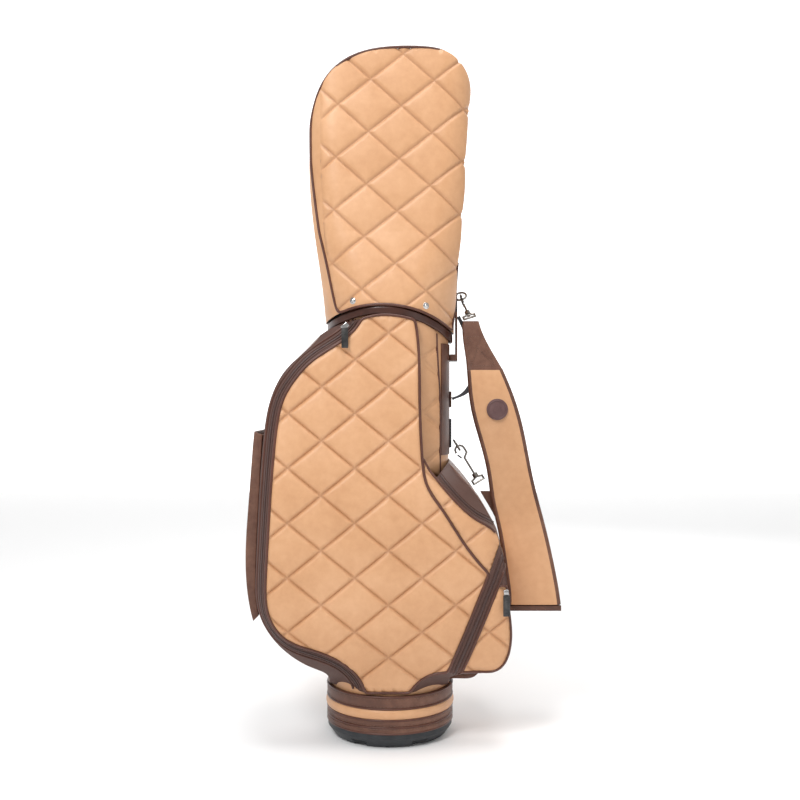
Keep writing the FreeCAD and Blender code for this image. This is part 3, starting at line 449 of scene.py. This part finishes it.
def tube(name, points, radius, mat, slot_name, closed=False):
    """A cord of leather sewn along points."""
    line = bpy.data.curves.new(name, "CURVE")
    line.dimensions = "3D"
    line.bevel_depth = radius
    line.bevel_resolution = 3
    line.use_fill_caps = not closed
    spline = line.splines.new("POLY")
    spline.points.add(len(points) - 1)
    for point, place in zip(spline.points, points):
        point.co = (*place, 1)
    spline.use_cyclic_u = closed
    holder = bpy.data.objects.new(name + "_line", line)
    bpy.context.scene.collection.objects.link(holder)
    bpy.context.view_layer.update()
    mesh = bpy.data.meshes.new_from_object(holder)
    bpy.data.objects.remove(holder)
    mesh.name = name
    mesh.materials.clear()
    mesh.materials.append(mat)
    for face in mesh.polygons:
        face.use_smooth = True
    piece = bpy.data.objects.new(name, mesh)
    bpy.context.scene.collection.objects.link(piece)
    piece_slots[name] = slot_name
    return piece


def even(points, step=0.005, closed=True, smooth=2):
    """Points respaced evenly along a path, with small corners eased."""
    path = list(points) + ([points[0]] if closed else [])
    out = [path[0].copy()]
    carry = 0.0
    for start, end in zip(path, path[1:]):
        way = end - start
        length = way.length
        if length < 1e-7:
            continue
        at = step - carry
        while at <= length:
            out.append(start + way * (at / length))
            at += step
        carry = length - (at - step)
    if not closed and (out[-1] - path[-1]).length > step * 0.3:
        out.append(path[-1].copy())
    for turn in range(smooth):
        count = len(out)
        fresh = []
        for k, point in enumerate(out):
            if not closed and k in (0, count - 1):
                fresh.append(point)
                continue
            fresh.append((out[k - 1] + point * 2 + out[(k + 1) % count]) / 4)
        out = fresh
    return out


def near_face(_centre, normal):
    """True for faces that look to the near side."""
    return normal.y < -0.45


# ---- Large side faces ---------------------------------------------------------
# The pear-shaped quilted face of each side with its cord piping. One sheet spans
# the fixed part and the pocket's opening part.

JOINED = 0.0009              # rims closer than this belong to the hidden joint
FACE_PIPING = 2.5 * MM
FACE_THICKNESS = 3.4 * MM
OUTSIDE = -0.4               # a place beyond the near side, for looking back at it
face_names = ["near_side_face", "near_pocket_door"]
skins = [outer_skin([name], near_face) for name in face_names]
trees = [BVHTree.FromBMesh(skin) for skin in skins]
open_rim = []
for index, skin in enumerate(skins):
    other = trees[1 - index]
    for start, end in rim_segments(skin):
        hit = other.find_nearest((start + end) / 2)
        if hit[3] > JOINED:
            open_rim.append((start, end))
pear_rim = chain(open_rim)
pear = bmesh.new()
pear_line = even(pear_rim, PATH_STEP, True, 1)
for point in pear_line:
    pear.verts.new((point.x, 0, point.z))
outline_face = pear.faces.new(pear.verts)
bmesh.ops.triangulate(pear, faces=[outline_face])
cut_grooves(pear, QUILT)
for vert in pear.verts:
    hits = []
    for tree in trees:
        hit = tree.ray_cast(Vector((vert.co.x, OUTSIDE, vert.co.z)), Vector((0, 1, 0)))
        if hit[0] is not None:
            hits.append(hit[0].y)
    if hits:
        vert.co.y = min(hits)
    else:
        found = [tree.find_nearest(Vector((vert.co.x, -0.14, vert.co.z))) for tree in trees]
        vert.co.y = min(found, key=lambda hit: hit[3])[0].y
bmesh.ops.recalc_face_normals(pear, faces=pear.faces)
if sum(face.normal.y for face in pear.faces) > 0:
    bmesh.ops.reverse_faces(pear, faces=pear.faces)
rim_pairs = list(zip(pear_line, pear_line[1:] + pear_line[:1]))
raise_pillows(pear, QUILT, rim_pairs, near_out)
give_wall(pear, near_out, FACE_THICKNESS)
near_pear = finish_mesh("near_quilted_face", pear, tan)
piece_slots[near_pear.name] = "tan_leather"
far_pear = far_copy(near_pear, "far_quilted_face")
near_piping = tube("near_face_piping", even(pear_rim, PATH_STEP, True, 2), FACE_PIPING,
                   piping_brown, "brown_leather", True)
far_piping = far_copy(near_piping, "far_face_piping")

for piece, side in ((near_pear, "near_"), (near_piping, "near_"),
                    (far_pear, "far_"), (far_piping, "far_")):
    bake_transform(piece)
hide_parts("near_side_face", "near_pocket_door")
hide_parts("far_side_face", "far_pocket_door")


# ---- Shoulder and corner panels -----------------------------------------------
# Smaller quilted panels right of the large face, sewn in with their own piping.
# The shoulder's piping runs out where the slanted zip and the cover meet it.

PANEL_PIPING = 2.1 * MM
PANEL_THICKNESS = 2.6 * MM


def run_of(points, keep):
    """The longest unbroken run of loop points that keep() accepts."""
    count = len(points)
    first = [k for k in range(count) if keep(points[k]) and not keep(points[k - 1])]
    runs = []
    for start in first:
        run = []
        k = start
        while keep(points[k % count]) and len(run) < count:
            run.append(points[k % count])
            k += 1
        runs.append(run)
    return max(runs, key=len)


def quilted_panel(name, node, quilt, keep, body, twin_node, piping=True, height=1.0,
                  edge_drop=RIM_DROP, outward=near_out, piped=None):
    """A quilted face from one node's skin, with its piping and its far-side twin."""
    skin = outer_skin([node], keep)
    rim = rim_segments(skin)
    loop = chain(list(rim))
    cut_grooves(skin, quilt)
    raise_pillows(skin, quilt, rim, outward, edge_drop, height)
    give_wall(skin, outward, PANEL_THICKNESS)
    near_piece = finish_mesh("near_" + name, skin, tan)
    piece_slots[near_piece.name] = "tan_leather"
    far_piece = far_copy(near_piece, "far_" + name)
    made = [near_piece, far_piece]
    if piping:
        path = even(loop, PATH_STEP, True, 2)
        if piped is not None:
            path = run_of(path, piped)
        cord = tube("near_" + name + "_piping", path, PANEL_PIPING, piping_brown,
                    "brown_leather", piped is None)
        made += [cord, far_copy(cord, "far_" + name + "_piping")]
    for piece in made:
        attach(piece, body)
    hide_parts(node)
    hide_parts(twin_node)
    return loop


shoulder_loop = quilted_panel("shoulder_quilt", "near_shoulder_face", QUILT, near_face, "bag",
                              "far_shoulder_face",
                              piped=lambda p: not (p.x > 0.172 and p.z < 0.392))
quilted_panel("corner_quilt", "near_corner_face", QUILT, near_face, "bag", "far_corner_face")


# ---- Rain hood ----------------------------------------------------------------
# Two quilted leather side panels and the plain strip between them, sewn with a
# cord piping in both seams. The spine edge is a plain turned seam.


def hood_outside(centre, normal):
    """True for faces on the outside of the hood."""
    away = Vector((centre.x, centre.y, (centre.z - 1.0) * 0.45 if centre.z > 1.0 else 0))
    along = normal.dot(away.normalized())
    return along > 0.25 and normal.z > -0.6


hood_loop = quilted_panel("hood_quilt", "hood_near_panel", HOOD_QUILT, hood_outside, "hood",
                          "hood_far_panel", piping=False, height=0.75, edge_drop=0,
                          outward=hood_out)
HOOD_HEM = 0.80              # below this the cord keeps to the panel's own rim
HOOD_TURN = 1.12             # the hood starts to curve over here
CORD_SEAT = 0.0010           # how far the cord's middle stands off the leather
HOOD_CORD = 2.7 * MM


def eased(value, low, high):
    """0 below low, 1 above high and a smooth rise between them."""
    share = min(max((value - low) / (high - low), 0), 1)
    return share * share * (3 - 2 * share)


hood_shell = copy_mesh(["hood_near_panel", "hood_gusset", "hood_far_panel"])
hood_tree = BVHTree.FromBMesh(hood_shell)
hood_shell.free()
hood_seam = []
for point in even(hood_loop, PATH_STEP, True, 2):
    over_top = eased(point.z, HOOD_TURN, 1.235) * (1 - eased(point.x, 0.095, 0.140))
    y = point.y + 0.018 * eased(point.z, HOOD_HEM, 1.10) * (1 - eased(point.x, -0.125, -0.08))
    y = y * (1 - over_top) - 0.0920 * over_top
    if point.z > HOOD_HEM:
        core = Vector((0, y, min(point.z, HOOD_TURN)))
        way = (Vector((point.x, y, point.z)) - core).normalized()
        hit = hood_tree.ray_cast(core + way * 0.5, -way)
        if hit[0] is not None and (hit[0] - point).length < 0.08:
            point = hit[0] + way * CORD_SEAT
    hood_seam.append(point)
cord_start = max(range(len(hood_seam)),
                 key=lambda k: hood_seam[k].x - abs(hood_seam[k].z - 1.0))
hood_seam = hood_seam[cord_start:] + hood_seam[:cord_start]
cord = [point for point in hood_seam
        if not (point.x > 0.10 and 0.885 < point.z < 1.19)]
near_cord = tube("near_hood_piping", even(cord, PATH_STEP, False, 8), HOOD_CORD, piping_brown,
                 "brown_leather")
for piece in (near_cord, far_copy(near_cord, "far_hood_piping")):
    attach(piece, "hood")


def beside(points, offset, tree, middle, stand=0.0003):
    """A path on a skin, held at an offset outside another path as seen from the side."""
    path = []
    for k, point in enumerate(points):
        before = points[max(k - 2, 0)]
        after = points[min(k + 2, len(points) - 1)]
        out = Vector((before.z - after.z, 0, after.x - before.x)).normalized()
        if out.dot(point - middle) < 0:
            out = -out
        place = point + out * offset
        hit = tree.ray_cast(Vector((place.x, OUTSIDE, place.z)), Vector((0, 1, 0)))
        if hit[0] is not None:
            path.append(hit[0] - Vector((0, stand, 0)))
    return path


# ---- Zip bands ----------------------------------------------------------------
# Each zip is a woven tape sewn beside a quilted face: two ribs with the coil
# between them, and a leather cord along the tape's far edge.

ZIP_RIB = 1.5 * MM
ZIP_COIL = 2.2 * MM
ZIP_CORD = 2.2 * MM


def zip_band(name, points, tree, middle, offsets, edge_offset):
    """Two ribs, a coil and an edge cord laid along a zip tape, on both sides."""
    parts = [("rib_a", offsets[0], ZIP_RIB, tape_cloth, "zip_tape"),
             ("coil", offsets[1], ZIP_COIL, coil_cloth, "zip_tape"),
             ("rib_b", offsets[2], ZIP_RIB, tape_cloth, "zip_tape"),
             ("edge", edge_offset, ZIP_CORD, piping_brown, "brown_leather")]
    for word, offset, radius, mat, slot_name in parts:
        if offset is None:
            continue
        path = beside(points, offset, tree, middle)
        if len(path) < 4:
            continue
        near_rib = tube("near_%s_%s" % (name, word), even(path, PATH_STEP, False, 2), radius,
                        mat, slot_name)
        for piece in (near_rib, far_copy(near_rib, "far_%s_%s" % (name, word))):
            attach(piece, "bag")


coil_cloth = woven("zip coil", (0.030, 0.012, 0.010), (0.085, 0.040, 0.032), 0.4, 2.6)
side_skins = copy_mesh(["near_front_zip_tape", "front_wall", "near_slanted_zip_tape",
                        "near_rear_zip_tape", "near_shoulder_face", "near_corner_face",
                        "barrel_cover"])
side_tree = BVHTree.FromBMesh(side_skins)
side_skins.free()
pear_middle = Vector((-0.06, -0.15, 0.42))
front_run = run_of(pear_line, lambda p: p.x < -0.043 and 0.108 < p.z < 0.766)
zip_band("front_zip", front_run, side_tree, pear_middle, (6 * MM, 10.5 * MM, 15 * MM), 21 * MM)
lens_run = run_of(shoulder_loop,
                  lambda p: p.x > 0.078 and p.z > 0.398 and p.y < -0.09
                  and p.z > 0.46 - 0.85 * (p.x - 0.083))
lens_middle = Vector((0.09, -0.14, 0.38))
zip_band("cover_zip", even(lens_run, PATH_STEP, False, 1), side_tree, lens_middle,
         (5 * MM, 8.5 * MM, 12 * MM), None)
zip_foot = Vector((0.104, -0.15, 0.140))
zip_head = Vector((0.175, -0.15, 0.321))
zip_end = Vector((0.1925, -0.15, 0.374))
slant = ([zip_foot.lerp(zip_head, k / 30) for k in range(31)]
         + [zip_head.lerp(zip_end, k / 10) for k in range(1, 11)])
zip_band("slanted_zip", slant, side_tree, pear_middle, (6.5 * MM, 12 * MM, 17.5 * MM),
         23.5 * MM)


# ---- Spine-side quilting --------------------------------------------------------
# The same quilted tan leather carries on round the barrel as a narrow strip,
# glued over foam and sewn into a second piped seam by the spine.

MOUTH_MIDDLE = Vector((-0.015, 0, 0.577))
MOUTH_ARC = 0.202            # the mouth's edge is an arc of this radius, seen from the side
SPINE_FOOT = 0.488
SPINE_RADIUS = 0.1115
SPINE_THICKNESS = 1.5 * MM
SPINE_PIPING = 2.3 * MM
SPINE_ROWS = 44
SPINE_COLUMNS = 8


def mouth_level(x):
    """Height of the mouth's edge at a place across the bag."""
    return MOUTH_MIDDLE.z + math.sqrt(MOUTH_ARC ** 2 - (x - MOUTH_MIDDLE.x) ** 2)


def second_seam(z):
    """Where the spine-side seam lies across the bag at a height."""
    return 0.0855 + 0.0070 * (1 - eased(z, 0.60, 0.76))


def pear_edge_x(z):
    """Where the large face ends across the bag at a height."""
    return min((point for point in pear_line if point.x > 0), key=lambda p: abs(p.z - z)).x


spine_skin = bmesh.new()
rows = []
for j in range(SPINE_ROWS + 1):
    row = []
    for i in range(SPINE_COLUMNS + 1):
        guess = 0.050 + 0.045 * i / SPINE_COLUMNS
        z = SPINE_FOOT + (mouth_level(guess) + 0.002 - SPINE_FOOT) * j / SPINE_ROWS
        left = pear_edge_x(min(z, 0.768)) - 0.001
        x = left + (second_seam(z) - left) * i / SPINE_COLUMNS
        row.append(spine_skin.verts.new((x, -math.sqrt(SPINE_RADIUS ** 2 - x * x), z)))
    rows.append(row)
for lower, upper in zip(rows, rows[1:]):
    for i in range(SPINE_COLUMNS):
        spine_skin.faces.new((lower[i], lower[i + 1], upper[i + 1], upper[i]))
seam_line = [row[-1].co.copy() for row in rows]
left_line = [row[0].co.copy() for row in rows]
spine_rim = list(zip(seam_line, seam_line[1:])) + list(zip(left_line, left_line[1:]))
cut_grooves(spine_skin, QUILT)
raise_pillows(spine_skin, QUILT, spine_rim, barrel_out, -0.3 * MM)
give_wall(spine_skin, barrel_out, SPINE_THICKNESS)
near_spine = finish_mesh("near_spine_quilt", spine_skin, tan)
piece_slots[near_spine.name] = "tan_leather"
near_seam = tube("near_spine_piping", even(seam_line, 0.005, False, 2), SPINE_PIPING,
                 piping_brown, "brown_leather")
for piece in (near_spine, far_copy(near_spine, "far_spine_quilt"), near_seam,
              far_copy(near_seam, "far_spine_piping")):
    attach(piece, "bag")


# ---- Foot bands -----------------------------------------------------------------
# Two brown leather bands and a padded tan one, wrapped over foam round the foot
# and glued down. Each edge is finished with a cord and rows of stitches.

BAND_INNER = 111.6           # foot sizes are in mm: inner radius of every band,
BAND_OUTER = 116.5           # its radius at the edges, the thickness of the cords
FOOT_CORD = 1.7
FOOT_CORDS = ((117.4, 28.2), (117.2, 39.6), (117.6, 52.6), (117.8, 72.8), (118.0, 94.2))
FOOT_STITCHES = ((118.7, 36.2), (118.6, 43.2), (118.5, 76.6), (118.5, 90.4))


def spun(name, profile, mat, slot_name, body, *replaced):
    """A closed ring turned about the bag's axis from (radius, height) in mm."""
    ring = bmesh.new()
    count = 144
    loops = []
    for k in range(count):
        turn = 2 * math.pi * k / count
        loops.append([ring.verts.new((r * MM * math.cos(turn), r * MM * math.sin(turn), z * MM))
                      for r, z in profile])
    for k in range(count):
        here = loops[k]
        after = loops[(k + 1) % count]
        for i in range(len(profile)):
            j = (i + 1) % len(profile)
            ring.faces.new((here[i], after[i], after[j], here[j]))
    bmesh.ops.recalc_face_normals(ring, faces=ring.faces)
    mesh = bpy.data.meshes.new(name)
    ring.to_mesh(mesh)
    ring.free()
    mesh.materials.append(mat)
    for face in mesh.polygons:
        face.use_smooth = True
    mesh.set_sharp_from_angle(angle=math.radians(50))
    piece = bpy.data.objects.new(name, mesh)
    bpy.context.scene.collection.objects.link(piece)
    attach(piece, body)
    if replaced:
        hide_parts(*replaced)
    return piece


def swell(inner, low, high, base, rise, count=9):
    """Profile of a band that swells out between its two edges."""
    out = [(inner, low)]
    for k in range(count):
        share = k / (count - 1)
        out.append((base + rise * math.sin(math.pi * share) ** 0.6, low + (high - low) * share))
    return out + [(inner, high)]


def cord_round(name, radius, height, thick, mat, slot_name):
    """A cord sewn right round the foot."""
    profile = [(radius + thick * math.cos(math.pi * k / 5),
                height + thick * math.sin(math.pi * k / 5)) for k in range(10)]
    return spun(name, profile, mat, slot_name, "bag")


lower_half = swell(BAND_INNER, 27, 39, BAND_OUTER, 2.2)
upper_half = swell(BAND_INNER, 40, 53, BAND_OUTER, 2.2)
spun("lower_band", lower_half[:-1] + upper_half[1:], brown, "brown_leather", "bag",
     "lower_base_band")
soft_band = spun("soft_band", swell(BAND_INNER, 53, 72, BAND_OUTER, 4.2), tan, "tan_leather",
                 "bag", "padded_base_band")
spun("upper_band", swell(BAND_INNER, 73, 95.5, 117.3, 1.4), brown, "brown_leather", "bag",
     "upper_base_band")
for index, (radius, height) in enumerate(FOOT_CORDS):
    cord_round("foot_cord_%d" % index, radius, height, FOOT_CORD, piping_brown,
               "brown_leather")


thread = leather("thread", (0.10, 0.05, 0.03), (0.16, 0.08, 0.05), (0.22, 0.12, 0.08), 0.5)


def stitches(name, corners, body, pitch=0.0042, length=0.0028, radius=0.45 * MM):
    """A row of separate stitches along straight runs between corners."""
    made = bmesh.new()
    for start, end in zip(corners, corners[1:]):
        way = end - start
        count = max(int(way.length / pitch), 1)
        way.normalize()
        turn = way.to_track_quat("Z", "Y").to_matrix().to_4x4()
        for k in range(count):
            place = start + way * (pitch * (k + 0.5))
            grown = bmesh.ops.create_uvsphere(made, u_segments=8, v_segments=5, radius=radius)
            bmesh.ops.scale(made, vec=(1, 1, length / (2 * radius)), verts=grown["verts"])
            bmesh.ops.transform(made, matrix=turn, verts=grown["verts"])
            bmesh.ops.translate(made, vec=place, verts=grown["verts"])
    piece = finish_mesh(name, made, thread)
    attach(piece, body)
    return piece


def stitch_ring(name, radius, height):
    """Stitches right round a foot band."""
    points = [Vector((radius * MM * math.cos(math.pi * k / 60),
                      radius * MM * math.sin(math.pi * k / 60), height * MM))
              for k in range(121)]
    return stitches(name, points, "bag", pitch=0.0061, length=0.0042)


for index, (radius, height) in enumerate(FOOT_STITCHES):
    stitch_ring("foot_stitches_%d" % index, radius, height)


# ---- Shoulder strap -------------------------------------------------------------
# Padded tan face bound in thick brown leather, with a brown end that is box
# stitched to it, a brown back layer and a plain round leather badge sewn on.

STRAP_SLICES = 60
STRAP_SIDES = 28
BINDING = 5.9 * MM
BINDING_SEAT = 0.0060        # how far the binding's middle lies inside the pad's edge


def slices(name, levels):
    """Bounds (x0, x1, y0, y1) of a node at each level."""
    mesh = nodes[name].data
    found = []
    for z in levels:
        hits = []
        for edge in mesh.edges:
            a = mesh.vertices[edge.vertices[0]].co
            b = mesh.vertices[edge.vertices[1]].co
            if (a.z - z) * (b.z - z) < 0:
                hits.append(a.lerp(b, (z - a.z) / (b.z - a.z)))
        found.append((min(h.x for h in hits), max(h.x for h in hits),
                      min(h.y for h in hits), max(h.y for h in hits)))
    return found


def padded_length(name, node, mat, grow=0.0, inset=0.0):
    """A soft rounded length that follows a strap node from bottom to top."""
    low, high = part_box(node)
    levels = [low[2] + 0.0001 + (high[2] - low[2] - 0.0002) * k / STRAP_SLICES
              for k in range(STRAP_SLICES + 1)]
    cuts = slices(node, levels)
    made = bmesh.new()
    rings = []
    for z, (x0, x1, y0, y1) in zip(levels, cuts):
        cx, cy = (x0 + x1) / 2, (y0 + y1) / 2
        hx, hy = (x1 - x0) / 2 - inset, (y1 - y0) / 2 + grow
        ring = []
        for k in range(STRAP_SIDES):
            turn = 2 * math.pi * k / STRAP_SIDES
            c, s = math.cos(turn), math.sin(turn)
            ring.append(made.verts.new((cx + hx * math.copysign(abs(c) ** 0.35, c),
                                        cy + hy * math.copysign(abs(s) ** 0.55, s), z)))
        rings.append(ring)
    for lower, upper in zip(rings, rings[1:]):
        for k in range(STRAP_SIDES):
            j = (k + 1) % STRAP_SIDES
            made.faces.new((lower[k], lower[j], upper[j], upper[k]))
    made.faces.new(list(reversed(rings[0])))
    made.faces.new(rings[-1])
    piece = finish_mesh(name, made, mat)
    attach(piece, "strap")
    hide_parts(node)
    return levels, cuts


pad_levels, pad_cuts = padded_length("strap_face", "strap_pad", tan, 0.0012, 0.003)
end_levels, end_cuts = padded_length("strap_end", "strap_upper_end", brown,
                                     0.0006)
for side, pick in (("inner", 0), ("outer", 1)):
    path = []
    for z, cut in zip(pad_levels, pad_cuts):
        shift = BINDING_SEAT if pick == 0 else -BINDING_SEAT
        path.append(Vector((cut[pick] + shift, (cut[2] + cut[3]) / 2, z)))
    binding = tube("strap_binding_" + side, path, BINDING, brown, "brown_leather")
    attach(binding, "strap")

def on_end(z, share):
    """A place on the front of the strap's brown end."""
    index = min(range(len(end_levels)), key=lambda k: abs(end_levels[k] - z))
    x0, x1, y0, y1 = end_cuts[index]
    return Vector((x0 + (x1 - x0) * share, y0 - 0.0009, z))


BOX_LOW, BOX_HIGH = 0.690, 0.745
BOX_NEAR, BOX_FAR = 0.14, 0.86
box_corners = [on_end(BOX_LOW, BOX_NEAR), on_end(BOX_HIGH, BOX_NEAR),
               on_end(BOX_HIGH, BOX_FAR), on_end(BOX_LOW, BOX_FAR)]
stitches("strap_end_box", box_corners + box_corners[:1], "strap")
stitches("strap_end_cross", [box_corners[0], box_corners[2]], "strap")
stitches("strap_end_cross_two", [box_corners[1], box_corners[3]], "strap")


def softened(node, width, mat, body, segments=3):
    """A designed piece with its edges rounded over."""
    made = copy_mesh([node])
    bmesh.ops.dissolve_limit(made, angle_limit=math.radians(1), verts=made.verts,
                             edges=made.edges)
    piece = finish_mesh(node + "_soft", made, mat)
    bpy.context.view_layer.objects.active = piece
    round_over = piece.modifiers.new("round", "BEVEL")
    round_over.width = width
    round_over.segments = segments
    round_over.limit_method = "ANGLE"
    round_over.angle_limit = math.radians(35)
    bpy.ops.object.modifier_apply(modifier=round_over.name)
    piece.data.set_sharp_from_angle(angle=math.radians(40))
    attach(piece, body)
    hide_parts(node)
    return piece


softened("strap_back_end", 1.4 * MM, brown, "strap")
softened("strap_badge", 1.2 * MM, badge_brown, "strap")
badge_low, badge_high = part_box("strap_badge")
badge_mid = Vector(((badge_low[0] + badge_high[0]) / 2, badge_low[1],
                    (badge_low[2] + badge_high[2]) / 2))
for word, reach, thick in (("rim", 0.0165, 0.9 * MM), ("inner", 0.0075, 0.6 * MM)):
    ring = [badge_mid + Vector((reach * math.cos(math.pi * k / 24), -0.0001,
                                reach * math.sin(math.pi * k / 24))) for k in range(48)]
    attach(tube("badge_" + word, ring, thick, badge_brown, "badge_leather", True), "strap")


# ---- Zip sliders and pulls ------------------------------------------------------
# Plated die-cast sliders, each with a rectangular pull hung on it. The pull is
# black nickel with a raised frame.

FRAME_SIDE = 0.0025          # the raised frame's distance from the pull's edges
FRAME_FOOT = 0.003
FRAME_HEAD = 0.011
FRAME_WIRE = 0.55 * MM
chrome = moulded("slider chrome", (0.42, 0.41, 0.40), (0.72, 0.71, 0.70), 0.14, 2.0, 1.0, 0.03)
for side in ("near_", "far_"):
    for kind in ("main_zip", "ball_zip"):
        body = side + kind + "_slider"
        softened(body, 1.1 * MM, chrome, body)
        pull = side + kind + "_pull"
        softened(pull, 0.9 * MM, black_nickel, pull)
        low, high = (Vector(corner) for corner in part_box(pull))
        outward = -1 if side == "near_" else 1
        face_y = (low.y if side == "near_" else high.y) + outward * 0.0001
        left, right = low.x + FRAME_SIDE, high.x - FRAME_SIDE
        foot, head = low.z + FRAME_FOOT, high.z - FRAME_HEAD
        frame_line = [Vector((x, face_y, z)) for x, z in ((left, foot), (right, foot),
                                                          (right, head), (left, head))]
        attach(tube(pull + "_frame", frame_line, FRAME_WIRE, black_nickel, "gunmetal", True),
                pull)


# ---- Snap caps ------------------------------------------------------------------
# Domed nickel caps, pressed through the hood's hem. They snap over the studs on
# the collar and hold the hood down.

DOME_STEPS = ((6.6 * MM, 2.4 * MM, 3.2 * MM), (4.4 * MM, 3.4 * MM, 3.4 * MM))

caps = copy_mesh(["snap_caps"])
cap_middles = []
for sx in (-1, 1):
    for sy in (-1, 1):
        own = [v.co for v in caps.verts if v.co.x * sx > 0 and v.co.y * sy > 0]
        cap_middles.append(sum(own, Vector()) / len(own))
caps.free()
domes = bmesh.new()
for place in cap_middles:
    out = Vector((place.x, place.y, 0)).normalized()
    turn = out.to_track_quat("Z", "Y").to_matrix().to_4x4()
    for radius, height, lift in DOME_STEPS:
        grown = bmesh.ops.create_uvsphere(domes, u_segments=32, v_segments=16, radius=radius)
        bmesh.ops.scale(domes, vec=(1, 1, height / radius), verts=grown["verts"])
        bmesh.ops.transform(domes, matrix=turn, verts=grown["verts"])
        bmesh.ops.translate(domes, vec=place + out * lift, verts=grown["verts"])
cap_piece = finish_mesh("snap_domes", domes, chrome)
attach(cap_piece, "hood")
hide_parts("snap_caps")


# ---- Small leather goods --------------------------------------------------------
# Brown leather tabs, grab tab and pouch with turned edges, and the webbing
# handle and ring tabs, all sewn to the bag.

softened("bottom_grab_tab", 1.8 * MM, brown, "bag")
softened("front_pouch", 1.2 * MM, brown, "bag")
softened("handle_tabs", 1.0 * MM, brown, "bag")
softened("carry_handle", 3.0 * MM, web_cloth, "bag")
softened("ring_tabs", 0.8 * MM, web_cloth, "bag")


# ---- Studio -------------------------------------------------------------------
# Pale paper floor and a glowing pale wall behind it, large soft lights, and a
# level camera a little below the middle of the bag.

bpy.ops.mesh.primitive_plane_add(size=1, location=(0, 0, 0))
floor = bpy.context.object
floor.name = "studio_floor"
bpy.ops.object.mode_set(mode="EDIT")
bpy.ops.transform.resize(value=(16, 16, 1))
bpy.ops.object.mode_set(mode="OBJECT")
paper = bpy.data.materials.new("studio paper")
paper.use_nodes = True
paper_shader = paper.node_tree.nodes["Principled BSDF"]
paper_shader.inputs["Base Color"].default_value = (0.93, 0.93, 0.93, 1)
paper_shader.inputs["Roughness"].default_value = 0.9
floor.data.materials.append(paper)
bpy.ops.object.select_all(action="DESELECT")
bpy.ops.mesh.primitive_plane_add(size=1, location=(0, 0, 0))
wall = bpy.context.object
wall.name = "studio_wall"
bpy.ops.object.mode_set(mode="EDIT")
bpy.ops.transform.resize(value=(16, 9, 1))
bpy.ops.transform.rotate(value=math.radians(90), orient_axis="X", center_override=(0, 0, 0))
bpy.ops.transform.translate(value=(0, 5, 4.4))
bpy.ops.object.mode_set(mode="OBJECT")
glow = bpy.data.materials.new("studio wall")
glow.use_nodes = True
glow_shader = glow.node_tree.nodes["Principled BSDF"]
glow_shader.inputs["Base Color"].default_value = (0.8, 0.8, 0.8, 1)
glow_shader.inputs["Emission Color"].default_value = (1, 1, 1, 1)
glow_shader.inputs["Emission Strength"].default_value = 0.9
wall.data.materials.append(glow)

world = bpy.data.worlds.new("studio")
bpy.context.scene.world = world
world.use_nodes = True
world.node_tree.nodes["Background"].inputs["Color"].default_value = (1, 1, 1, 1)
world.node_tree.nodes["Background"].inputs["Strength"].default_value = 0.5

for name, place, size, power in (("key", (-1.1, -2.3, 2.7), 0.9, 58),
                                 ("fill", (2.2, -2.0, 1.3), 1.6, 6),
                                 ("top", (0.2, -0.6, 3.2), 1.2, 34),
                                 ("back", (1.2, 2.4, 1.8), 1.5, 12)):
    lamp_data = bpy.data.lights.new(name, "AREA")
    lamp_data.size = size
    lamp_data.energy = power
    lamp = bpy.data.objects.new(name, lamp_data)
    bpy.context.scene.collection.objects.link(lamp)
    lamp.location = place
    aim = Vector((0, 0, 0.65)) - Vector(place)
    lamp.rotation_euler = aim.to_track_quat("-Z", "Y").to_euler()

CAMERA_DISTANCE = 1.955
CAMERA_HEIGHT = 0.6257
VIEW_WIDTH = 1.52
camera_data = bpy.data.cameras.new("camera")
camera_data.sensor_width = 36.0
camera_data.lens = 36.0 * CAMERA_DISTANCE / VIEW_WIDTH
camera = bpy.data.objects.new("camera", camera_data)
bpy.context.scene.collection.objects.link(camera)
camera.location = (0.019, -CAMERA_DISTANCE, CAMERA_HEIGHT)
camera.rotation_euler = (math.radians(90), 0, 0)
bpy.context.scene.camera = camera
bpy.context.scene.view_settings.view_transform = "Standard"
